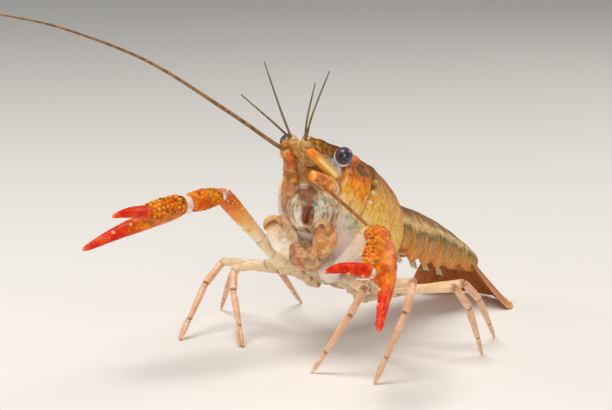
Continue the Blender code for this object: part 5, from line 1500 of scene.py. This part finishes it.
class ClawPart:
    """The shape of a hand or finger: oval sections along a way, its middle bowed if need be."""

    ROUNDS, STEP = (0.3, 0.35), 0.2  # how far its ends round off, and the rings' spacing, mm

    def __init__(self, table, seat, way, opening, stretch=1, bow=0.0):
        self.table, self.seat, self.way, self.stretch, self.bow = table, seat, way, stretch, bow
        self.opening = square_to(way, opening)
        self.breadth = way.cross(self.opening).normalized()

    def middle(self, distance, shift):
        arch = self.bow * sin(pi * distance / HAND_LENGTH)
        return self.seat + self.way * (distance * self.stretch) + self.opening * (arch + shift)

    def rings(self, sides):
        """Rows for its skin. Marks: share of the length, height round, knob colour."""
        length = self.table[-1][0]
        rows = []
        for distance in stations(length, self.STEP, *self.ROUNDS):
            shift, depth, thick = rail(self.table, distance)
            scale = end_scale(distance, length, *self.ROUNDS)
            centre = self.middle(distance, shift)
            ring = []
            for i in range(sides):
                angle = 2 * pi * i / sides
                cosine, sine = cos(angle), sin(angle)
                swell = scale * (1 + 0.03 * noise.noise(Vector((distance, cosine * 2, sine * 2))))
                offset = self.opening * (depth * cosine) + self.breadth * (thick * sine)
                ring.append((centre + offset * swell, (distance / length, cosine, 0)))
            rows.append(ring)
        for end in (0, -1):
            centre = sum((point for point, _ in rows[end]), Vector()) / sides
            rows[end] = [(centre, mark) for _, mark in rows[end]]
        return rows

    def surface(self, distance, angle):
        """Place and outward direction."""
        shift, depth, thick = rail(self.table, distance)
        cosine, sine = cos(angle), sin(angle)
        centre = self.middle(distance, shift)
        place = centre + self.opening * (depth * cosine) + self.breadth * (thick * sine)
        outward = self.opening * (cosine / depth) + self.breadth * (sine / thick)
        return place, outward.normalized()


def teeth(batch, part, angle, first, count, large, sizes, share_at):
    """Rounded teeth along the inner edge of a hand or finger; two of them are large."""
    for i in range(count):
        distance = first + TOOTH_STEP * i
        place, outward = part.surface(distance, angle)
        size = sizes[0] if i in large else sizes[1] + 0.04 * (i % 3)
        mark = (share_at(distance), 0, 3 if i in large else 0)
        knob(batch, place, outward, size, size * 0.8, mark)


JOINT_TONE = {"left": 1.0, "right": 0.0}  # how orange the soft skin of the wrist and elbow is
OUTER_SIDE = Vector((0.447, -0.877, -0.1)).normalized()  # where the joints' soft skin bulges out
MERUS_TONES = {"left": (0, 0), "right": (0, 1)}
# half across and half up
MERUS_SIZES = ((1.0, 1.05), (1.05, 1.15), (1.2, 1.35), (1.3, 1.45), (1.1, 1.2))
CARPUS_SIZES = ((1.0, 1.05), (1.45, 1.45), (1.75, 1.65), (1.55, 1.5), (1.2, 1.15))
CARPUS_KNOB_PLACES = ((0, 1.0), (0.25, 1.42), (0.6, 1.66), (0.88, 1.5), (1, 1.15))  # share along, mm out
# share along, degrees from the upper side, reach
MERUS_SPINES = (
    (0.93, 0, 0.38), (0.85, 4, 0.32), (0.77, -4, 0.28), (0.68, 0, 0.22),
    (0.28, 148, 0.25), (0.42, 148, 0.28), (0.56, 148, 0.3),
    (0.7, 148, 0.32), (0.84, 148, 0.36), (0.94, 148, 0.4),
    (0.3, 212, 0.25), (0.46, 212, 0.28), (0.62, 212, 0.3), (0.78, 212, 0.32), (0.92, 212, 0.38),
)
# share along, degrees from the thumb's side, reach, foot radius
CARPUS_SPINES = (
    (0.78, 0, 0.75, 0.34), (0.42, -8, 0.38, 0.28), (0.88, 52, 0.32, 0.24), (0.86, -60, 0.36, 0.26),
    (0.8, 118, 0.35, 0.26), (0.6, 26, 0.3, 0.22),
)
# degrees from the thumb's side, first and last place in mm, count, radius, reach
PALM_ROWS = (
    (0, 1.2, 7.6, 9, 0.3, 0.34),
    (20, 1.5, 7.2, 8, 0.26, 0.28),
    (40, 1.8, 7.4, 8, 0.24, 0.24),
    (60, 2.0, 7.4, 7, 0.2, 0.14),
)


def make_arm_base(node, finish, root, coxa, knuckle):
    """The two short pieces that carry the arm."""
    batch = Batch()
    path = [root, root.lerp(coxa, 0.5), coxa, coxa + (coxa - root).normalized() * 0.8]
    limb(batch, path, (1.5, 1.7, 1.65, 1.2), UP, 28, 0.3, (0.5, 0.5), 0.06)
    path = [coxa.lerp(knuckle, share) for share in (0, 0.4, 0.75, 1)]
    limb(batch, path, (1.1, 1.05, 1.15, 1.1), UP, 24, 0.3, (0.3, 0.3), 0.06)
    bm = batch.gathered()
    layer = bm.verts.layers.float_vector["mark"]
    for vert in bm.verts:
        vert[layer] = (vert[layer].x * 0.25, vert[layer].y, 0)
    put(f"{node}_root", batch, finish, [f"{node}_base"])


def make_merus(node, finish, chance, knuckle, elbow, arm, tones):
    """The long piece, with a row of spines above and two below."""
    batch = Batch()
    path = [knuckle.lerp(elbow, share) for share in (0, 0.2, 0.6, 0.88, 1)]
    limb(batch, path, MERUS_SIZES, UP, 32, 0.25, (0.3, 0.45), 0.04)
    upper_side = square_to(arm, UP)
    for share, degrees, reach in MERUS_SPINES:
        turn = radians(degrees)
        outward = round_way(arm, upper_side, turn)
        place = knuckle.lerp(elbow, share) + outward * 1.24
        thorn(batch, place, outward + arm * 0.5, 0.24, reach, (share, cos(turn), 1))
    for _ in range(120):
        share, turn = chance.uniform(0.25, 0.97), chance.uniform(-2.2, 2.2)
        outward = round_way(arm, upper_side, turn)
        size = chance.uniform(0.07, 0.15)
        place = knuckle.lerp(elbow, share) + outward * (1.08 + 0.27 * ease(share, 0.1, 0.85))
        knob(batch, place, outward, size, size * 0.7, (share, cos(turn), chance.choice(tones)))
    put(f"{node}_merus_shell", batch, finish, [f"{node}_merus"])


def make_carpus(node, finish, chance, elbow, wrist, opening):
    """The short, knobbly piece before the hand."""
    batch = Batch()
    path = [elbow.lerp(wrist, share) for share in (0, 0.25, 0.6, 0.88, 1)]
    limb(batch, path, CARPUS_SIZES, UP, 32, 0.2, (0.4, 0.35), 0.05)
    way = (wrist - elbow).normalized()
    thumb_side = square_to(way, opening)
    for share, degrees, reach, foot in CARPUS_SPINES:
        outward = round_way(way, thumb_side, radians(degrees))
        place = elbow.lerp(wrist, share) + outward * 1.45
        thorn(batch, place, outward + way * 0.4, foot, reach, (0.6, 0.5, 1))
    for _ in range(150):
        share, turn = chance.uniform(0.12, 0.92), chance.uniform(-pi, pi)
        outward = round_way(way, thumb_side, turn)
        size = chance.uniform(0.1, 0.2)
        place = elbow.lerp(wrist, share) + outward * smooth(CARPUS_KNOB_PLACES, share)
        mark = (share * 0.4, cos(turn), chance.choice((0, 1, 1, 2)))
        knob(batch, place, outward, size, size * 0.7, mark)
    put(f"{node}_carpus_shell", batch, finish, [f"{node}_carpus"])


def make_hand(node, finish, chance, hand):
    """The palm and its fixed finger, with rows of knobs, granules and teeth."""
    batch = Batch()
    skin(batch, hand.rings(48))
    for degrees, first, last, count, radius, reach in PALM_ROWS:
        for i in range(count):
            distance = first + (last - first) * i / (count - 1)
            for way in (1, -1) if degrees else (1,):
                place, outward = hand.surface(distance, radians(degrees) * way)
                grow = radius * chance.uniform(0.8, 1.15)
                tone = chance.choice((0, 1, 1, 2)) if degrees < 50 else chance.choice((0, 0, 1))
                knob(batch, place, outward, grow, reach, (0.2, 0, tone), hand.way * 0.5)
    for _ in range(110):
        distance, angle = chance.uniform(0.8, 8.2), chance.uniform(-pi, pi)
        place, outward = hand.surface(distance, angle)
        size = chance.uniform(0.09, 0.2) * (1 if abs(angle) < 1.1 else 0.45)
        tone = chance.choice((0, 0, 1, 2)) if abs(angle) < 1.1 else 0
        knob(batch, place, outward, size, size * 0.55, (0.2, 0, tone), hand.way * 0.4)
    for _ in range(110):
        distance, angle = chance.uniform(8.6, 18), chance.uniform(-pi, pi)
        place, outward = hand.surface(distance, angle)
        size = chance.uniform(0.05, 0.11)
        knob(batch, place, outward, size, size * 0.5, (0.8, 0, chance.choice((0, 0, 0, 1))))
    teeth(batch, hand, 0.0, 9.4, 14, (2, 7), (0.3, 0.14), lambda _: 0.8)
    put(f"{node}_hand_shell", batch, finish, [f"{node}_hand"])


def make_finger(node, finish, chance, finger):
    """The moving finger."""
    batch = Batch()
    skin(batch, finger.rings(40))
    for _ in range(70):
        distance, angle = chance.uniform(0.6, 9.0), chance.uniform(-pi, pi)
        place, outward = finger.surface(distance, angle)
        size = chance.uniform(0.05, 0.12) * (1.3 if distance < 3 else 1)
        mark = (distance / FINGER_LENGTH, 0, chance.choice((0, 0, 0, 0, 1)))
        knob(batch, place, outward, size, size * 0.5, mark)
    teeth(batch, finger, pi, 1.8, 12, (1, 6), (0.27, 0.13), lambda reach: reach / FINGER_LENGTH)
    put(f"{node}_finger_shell", batch, finish, [f"{node}_finger"])


def make_joint_skin(node, finish, tone, knuckle, elbow, wrist, finger):
    """The soft skin in the arm's joints."""
    batch = Batch()
    lump(batch, elbow, (1.12, 1.12, 1.12), mark=(max(tone, 0.7), 0, 0))
    lump(batch, wrist, (1.18, 1.18, 1.18), mark=(tone, 0, 0))
    if tone == 0:
        lump(batch, wrist + OUTER_SIDE * 0.8, (1.15, 1.0, 1.45), across=36, rows=24)
        lump(batch, elbow + OUTER_SIDE * 0.5, (0.8, 0.8, 0.85))
    else:
        spot = finger.seat + OUTER_SIDE * 0.7
        lump(batch, spot, (0.72, 0.72, 0.9), mark=(0.22, 0, 0), across=36, rows=24)
    lump(batch, finger.seat - finger.way * 0.1, (0.95, 0.95, 0.95))
    lump(batch, knuckle, (1.0, 1.0, 1.0), mark=(0.2, 0, 0))
    put(f"{node}_joint_skin", batch, finish, [])


def make_cheliped(side_name, arm_shell, wrist_shell, hand_shell, finger_shell, joint_skin):
    """A claw arm from the trunk outwards."""
    side, node = SIDES[side_name], f"cheliped_{side_name}"
    stance = CHELIPED_STANCE[side_name]
    elbow, wrist, tip = (Vector(stance[key]) for key in ("elbow", "wrist", "tip"))
    root, coxa = (TRUNK @ mirrored(place, side) for place in (ARM_ROOT, ARM_COXA))
    knuckle = coxa.lerp(elbow, 0.3)
    arm = (elbow - coxa).normalized()
    hand = ClawPart(
        HAND, wrist, (tip - wrist).normalized(), Vector(stance["opening"]), bow=stance["bow"]
    )
    seat = hand.middle(FINGER_ROOT, FINGER_SEAT)
    reach = Vector(stance["finger tip"]) - seat
    finger = ClawPart(
        FINGER, seat, reach.normalized(), hand.opening, stretch=reach.length / FINGER_LENGTH
    )
    chance = random.Random(101)
    make_arm_base(node, arm_shell, root, coxa, knuckle)
    make_merus(node, arm_shell, chance, knuckle, elbow, arm, MERUS_TONES[side_name])
    make_carpus(node, wrist_shell, chance, elbow, wrist, hand.opening)
    make_hand(node, hand_shell, chance, hand)
    make_finger(node, finger_shell, chance, finger)
    make_joint_skin(node, joint_skin, JOINT_TONE[side_name], knuckle, elbow, wrist, finger)


# ---- abdomen and tail fan
ABDOMEN_START = Vector((REAR_X - 0.3, 0, 7.3))
# share along a segment: how far its side plate hangs there
PLEURON_DROP = ((0, 0.12), (0.12, 0.55), (0.35, 0.92), (0.6, 1.0), (0.85, 0.72), (1, 0.25))
# per segment: length, half width, depth, pleuron length, slope down in degrees, turn left
ABDOMEN = (
    (3.2, 6.2, 7.4, 0.8, 15, 0),
    (5.0, 7.0, 8.0, 2.2, 17, 5),
    (5.2, 7.1, 8.0, 2.3, 21, 9),
    (5.0, 6.9, 7.5, 2.2, 27, 12),
    (4.8, 6.4, 6.6, 2.0, 32, 15),
    (5.6, 5.6, 4.9, 1.2, 36, 17),
)


def abdomen_frames():
    """For each joint of the abdomen its dorsal point and the directions back, left and up."""
    place = trunk_point(*ABDOMEN_START)
    frames = []
    for length, *_, slope, turn in ABDOMEN:
        slope, turn = radians(slope), radians(turn)
        back = Vector((
            sin(turn) * cos(slope), cos(turn) * cos(slope), -sin(slope),
        ))
        left = Vector((cos(turn), -sin(turn), 0))
        roll = radians(TRUNK_ROLL) * (1 - len(frames) / len(ABDOMEN))
        left = Matrix.Rotation(roll, 3, back) @ left
        up = -back.cross(left).normalized()
        frames.append((place.copy(), back, left, up))
        place += back * length
    frames.append((place.copy(), back, left, up))
    return frames


def abdomen_profile(half, depth, pleuron):
    """Half a cross-section from the top round to the belly."""
    profile = []
    for step in range(9):
        angle = pi / 2 * step / 8
        profile.append((half * sin(angle) ** 0.9, -0.8 * depth * (1 - cos(angle) ** 0.8)))
    side_z = -0.8 * depth
    profile.append((half * 0.985, side_z - pleuron * 0.5))
    profile.append((half * 0.9, side_z - pleuron))
    profile.append((half * 0.82, side_z - pleuron * 0.55))
    profile.append((half * 0.62, -depth * 0.95))
    profile.append((half * 0.3, -depth * 0.97))
    profile.append((0, -depth))
    return profile


ABDOMEN_ROWS, HALF_COLUMNS = 30, 44


def make_abdomen(finish, limb_shell):
    """Six plates, each sliding a little way under the one before it."""
    frames = abdomen_frames()
    reach_before = 0.0
    for index, (length, half, depth, pleuron, _, _) in enumerate(ABDOMEN):
        place, _, left, up = frames[index]
        end, _, next_left, next_up = frames[index + 1]
        following = ABDOMEN[index + 1][1:3] if index + 1 < len(ABDOMEN) else (half * 0.85, depth * 0.8)
        batch = Batch()
        rows = []
        reach_in = 0.9 if index else 0.5
        for i in range(ABDOMEN_ROWS):
            share = -reach_in / length + (1 + reach_in / length) * i / (ABDOMEN_ROWS - 1)
            inner = share < 0
            blend = max(share, 0) * 0.5
            ring_half = half + (following[0] - half) * blend
            ring_depth = depth + (following[1] - depth) * blend
            drop = smooth(PLEURON_DROP, share)
            middle = place + (end - place) * share
            ring_left = left.lerp(next_left, max(share, 0) * 0.5).normalized()
            ring_up = up.lerp(next_up, max(share, 0) * 0.5).normalized()
            if index:
                early = 1 - ease(share, 0, 0.3)
                ring_left = ring_left.lerp((left + frames[index - 1][2]).normalized(), early).normalized()
                ring_up = ring_up.lerp((up + frames[index - 1][3]).normalized(), early).normalized()
            relief = 0.16 * sin(max(share, 0) * pi) - 0.1 * hill(share, 0.86, 0.03)
            relief += 0.06 * ease(share, 0.88, 0.94) - 0.12 * hill(share, 0.2, 0.05) * (index > 0)
            if inner:
                relief -= 0.45
            relief -= 0.3 * ease(share, 0.985, 1.0)
            profile = abdomen_profile(ring_half + relief, ring_depth + relief, pleuron * drop)
            half_loop = course([(0, y, z + relief) for y, z in profile])
            ring = []
            for k in range(2 * HALF_COLUMNS):
                t = min(k, 2 * HALF_COLUMNS - k) / HALF_COLUMNS
                _, y, z = rail(half_loop, half_loop[-1][0] * t)
                y = y if k <= HALF_COLUMNS else -y
                point = middle + ring_left * y + ring_up * z
                ring.append((point, (reach_before + share * length, 180 * t, share)))
            rows.append(ring)
        add_ends(rows, 0.9)
        add_ends(rows)
        skin(batch, rows)
        reach_before += length
        put(f"abdomen_{index + 1}_plate", batch, finish, [f"abdomen_{index + 1}"])
    batch = Batch()
    lump(batch, (1.3, 0, 1.6), (1.7, 5.6, 5.2), mark=(0, 150, 0.5), across=40, rows=24)
    put("waist_skin", batch, finish, [], in_trunk=True)
    make_swimmerets(limb_shell, frames)
    return frames[-1]


SWIMMERET_SIZES = ((0.25, 0.16), (0.42, 0.13), (0.36, 0.11), (0.12, 0.07))  # half across, half thick


def make_swimmerets(finish, frames):
    """Pairs of small two-bladed limbs under the second to fifth plates."""
    batch = Batch()
    chance = random.Random(55)
    for index in (1, 2, 3, 4):
        place, back, left, up = frames[index]
        end = frames[index + 1][0]
        _, half, depth, *_ = ABDOMEN[index]
        for side in SIDES.values():
            root = place.lerp(end, 0.42) + left * (half * 0.42 * side) - up * (depth * 0.9)
            way = (back * 0.75 - up * 0.65 + left * (0.12 * side)).normalized()
            limb(batch, [root, root + way * 1.2], (0.42, 0.36), up, 12, 0.3, (0.2, 0.2), 0, 1)
            for spread in (0.18, -0.18):
                blade_way = (way + left * (side * spread)).normalized()
                start = root + way * 1.0
                path = [start + blade_way * reach for reach in (0, 0.7, 1.5, 1.95)]
                limb(batch, path, SWIMMERET_SIZES, up, 12, 0.25, (0.1, 0.1), 0, 1)
                for _ in range(24):
                    t = chance.random()
                    rim = left * (side * copysign(0.3, spread))
                    spot = start + blade_way * (0.3 + 1.6 * t) + rim
                    lean = blade_way + left * (side * spread * 3)
                    bristle(batch, spot, lean, chance.uniform(0.3, 0.6), FINE_HAIR, (0.5, 0, 1))
    put("swimmerets", batch, finish, [])


# mm to the side and ahead of the hub, degrees outwards, length, half width, lift, mark, cross crease
FAN_BLADES = {
    "telson": (0.0, 0.0, 0, 7.9, 3.7, 0.3, 0.0, (0.62, 0.06)),
    "inner": (2.7, 0.3, 24, 7.8, 3.1, 0.16, 3.0, None),
    "outer": (4.0, 1.0, 50, 7.9, 3.4, 0.02, 6.0, (0.72, 0.08)),
}
BLADE_ORDER = (("telson", None), *((name, side) for name in ("inner", "outer") for side in SIDES))
BLADE_SIDES, BLADE_ROWS, BLADE_BRISTLES = 40, 48, 110
# share of the length: share of the half width there
FAN_OUTLINE = (
    (0.0, 0.42), (0.2, 0.66), (0.45, 0.9), (0.7, 1.0),
    (0.86, 0.94), (0.95, 0.74), (0.985, 0.55), (1.0, 0.4),
)


def level_ways(heading):
    """The level directions along a heading and to its left."""
    sine, cosine = sin(heading), cos(heading)
    return Vector((sine, cosine, 0)), Vector((cosine, -sine, 0))


def make_fan(finish, frame_at_end):
    """Telson and uropods: blades that come down to lie level just above the floor."""
    place, back, _, up = frame_at_end
    heading = atan2(back.x, back.y)
    hub = place - up * 2.2 - back * 0.6
    hub_back, hub_left = level_ways(heading)
    chance = random.Random(66)
    for name, side_name in BLADE_ORDER:
        side = SIDES[side_name] if side_name else 1
        to_side, forward, turn, length, half_width, lift, blade_mark, crease = FAN_BLADES[name]
        way, across = level_ways(heading + radians(turn) * side)
        root = hub + hub_left * (to_side * side) - hub_back * forward
        batch = Batch()
        rows = []
        for i in range(BLADE_ROWS):
            share = i / (BLADE_ROWS - 1)
            width = half_width * 0.98 * smooth(FAN_OUTLINE, share)
            height = root.z * max(0, 1 - share / 0.9) ** 1.1 + lift
            middle = Vector((root.x, root.y, height)) + way * (share * length * 0.985)
            ring = []
            for k in range(BLADE_SIDES):
                angle = 2 * pi * k / BLADE_SIDES
                a = cos(angle)
                thin = sqrt(max(0, 1 - abs(a) ** 6)) * (0.4 - 0.16 * share)
                if sin(angle) > 0:
                    rib = 0.32 * hill(a, 0, 0.1) + 0.1 * hill(abs(a), 0.5, 0.12) * (name == "telson")
                    ridges = 0.03 * cos(a * 34) * share
                    rise = thin + (rib * (1 - 0.7 * share) + ridges) * (abs(a) < 0.97)
                    if crease:
                        rise -= crease[1] * hill(share, crease[0], 0.015)
                else:
                    rise = -thin * 0.6
                point = middle + across * (width * a) + UP * (0.24 + rise)
                point.z = max(point.z, 0.02)
                ring.append((point, (share, a, blade_mark + side)))
            rows.append(ring)
        add_ends(rows)
        skin(batch, rows)
        for k in range(BLADE_BRISTLES):
            a = -1 + 2 * (k + 0.5) / BLADE_BRISTLES
            edge = 0.995 - 0.09 * abs(a) ** 3
            width = half_width * smooth(FAN_OUTLINE, edge)
            spot = Vector((root.x, root.y, 0.3 + lift)) + way * (edge * length * 0.975)
            spot += across * (width * a * 0.97)
            lean = way + across * (a * 0.7) - UP * 0.08
            reach = chance.uniform(0.3, 0.5)
            if spot.z > 0.05:
                bristle(batch, spot - lean.normalized() * 0.25, lean, reach, 0.025, (1.0, a, 0))
        if name == "telson":
            for edge_side in (1, -1):
                for offset in (0.0, 0.35):
                    spot = Vector((root.x, root.y, 0.5)) + way * (0.64 * length)
                    spot += across * (edge_side * (3.2 - offset))
                    thorn(batch, spot, way + across * (0.2 * edge_side), 0.12, 0.45, (0.7, 1, 0))
        node = name if name == "telson" else f"uropod_{side_name}_{name}"
        put(f"{node}_blade", batch, finish, [node])


# ---- make everything
shell = shell_finish()
mouth = mouth_finish()
mouthpart = mouthpart_finish()
stem = stem_finish()
legs = limb_finish()
arms = {
    "left": arm_finish("left arm shell", 0.3, (238, 222, 216)),
    "right": arm_finish("right arm shell", 1.1, (238, 224, 190)),
}
wrist_shell = claw_finish("claw wrist shell", 2, 3)
hand_shell = claw_finish("claw hand shell", 0.4, 0.72)
finger_shell = claw_finish("claw finger shell", 0.02, 0.25)
skin_of_joints = membrane_finish()
feelers = {
    "left": feeler_finish("left feeler", (158, 90, 34), (190, 118, 52), 15.0),
    "right": feeler_finish("right feeler", (104, 74, 34), (150, 106, 54), 15.0),
}
small_feeler = feeler_finish("small feeler", (96, 84, 46), (140, 114, 62), 15.0)
small_stem = feeler_finish("small feeler stem", (168, 124, 62), (206, 160, 94), 0.0)

make_carapace(shell)
make_rostrum(shell)
make_face(mouth)
make_maxillipeds(mouthpart)
make_inner_mouthparts(mouthpart)
make_sternum(mouth)
make_eyes(cornea_finish(), stalk_finish())
make_antennae(stem, scale_finish(), feelers)
make_antennules(small_stem, small_feeler)
make_legs(legs)
for side_name in SIDES:
    make_cheliped(side_name, arms[side_name], wrist_shell, hand_shell, finger_shell, skin_of_joints)
tail_end = make_abdomen(abdomen_finish(), legs)
make_fan(fan_finish(), tail_end)


# ---- floor, light and camera
def plain(name, colour, roughness):
    f = Finish(name)
    f.colour = f.mix(f.times(f.noise(0.02, 2), 0.1), colour, (214, 208, 200))
    return f.finish(roughness, f.noise(0.4, 2), 0.02)


SWEEP_STEPS, SWEEP_STEP, WALL_HEIGHT = 12, 0.08, 1.5  # steps of the curve, their length, m


def make_floor():
    """A pale floor that sweeps up behind the animal."""
    bm = bmesh.new()
    bmesh.ops.create_grid(bm, x_segments=1, y_segments=1, size=0.9)
    turns = [pi / 2 * (k + 0.5) / SWEEP_STEPS for k in range(SWEEP_STEPS)]
    moves = [(0, SWEEP_STEP * cos(turn), SWEEP_STEP * sin(turn)) for turn in turns]
    far = [e for e in bm.edges if all(v.co.y > 0 for v in e.verts)]
    for move in (*moves, (0, 0, WALL_HEIGHT)):
        made = bmesh.ops.extrude_edge_only(bm, edges=far)["geom"]
        bmesh.ops.translate(bm, verts=[v for v in made if isinstance(v, bmesh.types.BMVert)], vec=move)
        far = [e for e in made if isinstance(e, bmesh.types.BMEdge)]
    bmesh.ops.recalc_face_normals(bm, faces=bm.faces)
    mesh = bpy.data.meshes.new("floor")
    bm.to_mesh(mesh)
    bm.free()
    mesh.shade_smooth()
    mesh.materials.append(plain("pale floor", (232, 228, 222), 0.75))
    floor = bpy.data.objects.new("floor", mesh)
    bpy.context.scene.collection.objects.link(floor)


LAMP_AIM = Vector((0, 0, 0.02))
# name, place and size in m, power in W, colour
LAMPS = (
    ("overhead", (-0.05, -0.15, 0.5), 0.3, 1.9, (1.0, 0.98, 0.95)),
    ("front", (0.28, -0.42, 0.22), 0.2, 0.95, (1.0, 0.95, 0.88)),
    ("fill", (-0.4, -0.1, 0.2), 0.3, 0.35, (0.95, 0.97, 1.0)),
    ("rim", (0.25, 0.4, 0.3), 0.25, 0.8, (1.0, 0.97, 0.94)),
)


def lamp(name, place, size, power, colour):
    data = bpy.data.lights.new(name, "AREA")
    data.shape, data.size, data.energy, data.color = "DISK", size, power, colour
    light = bpy.data.objects.new(name, data)
    light.location = place
    light.rotation_mode = "QUATERNION"
    light.rotation_quaternion = (LAMP_AIM - Vector(place)).to_track_quat("-Z", "Y")
    bpy.context.scene.collection.objects.link(light)


CAMERA_AZIMUTH, CAMERA_ELEVATION, CAMERA_DISTANCE = 27, 10, 400  # degrees, degrees, mm
CAMERA_RIGHT, CAMERA_UP = -13.1, 21.2  # the camera's shift in its own frame, mm
SENSOR_WIDTH, FOCAL_LENGTH_OVER_WIDTH = 36, 2357 / 612


def make_camera():
    """A long lens a little above the animal, with the whole of it in the frame."""
    azimuth, elevation = radians(CAMERA_AZIMUTH), radians(CAMERA_ELEVATION)
    level = cos(elevation)
    back = Vector((sin(azimuth) * level, -cos(azimuth) * level, sin(elevation)))
    right = Vector((cos(azimuth), sin(azimuth), 0))
    up = back.cross(right)
    data = bpy.data.cameras.new("camera")
    data.sensor_width, data.lens = SENSOR_WIDTH, SENSOR_WIDTH * FOCAL_LENGTH_OVER_WIDTH
    data.clip_start, data.clip_end = 0.01, 10
    camera = bpy.data.objects.new("camera", data)
    place = back * CAMERA_DISTANCE + right * CAMERA_RIGHT + up * CAMERA_UP + STANCE_ORIGIN
    turn = Matrix((right, up, back)).transposed().to_4x4()
    camera.matrix_world = Matrix.Translation(place * METRES_PER_MM) @ turn
    bpy.context.scene.collection.objects.link(camera)
    bpy.context.scene.camera = camera


make_floor()
for name, place, size, power, colour in LAMPS:
    lamp(name, place, size, power, colour)
world = bpy.data.worlds.new("studio")
world.use_nodes = True
background = world.node_tree.nodes["Background"].inputs
background["Color"].default_value = (0.85, 0.87, 0.9, 1)
background["Strength"].default_value = 0.3
bpy.context.scene.world = world
bpy.context.scene.view_settings.view_transform = "Standard"
make_camera()
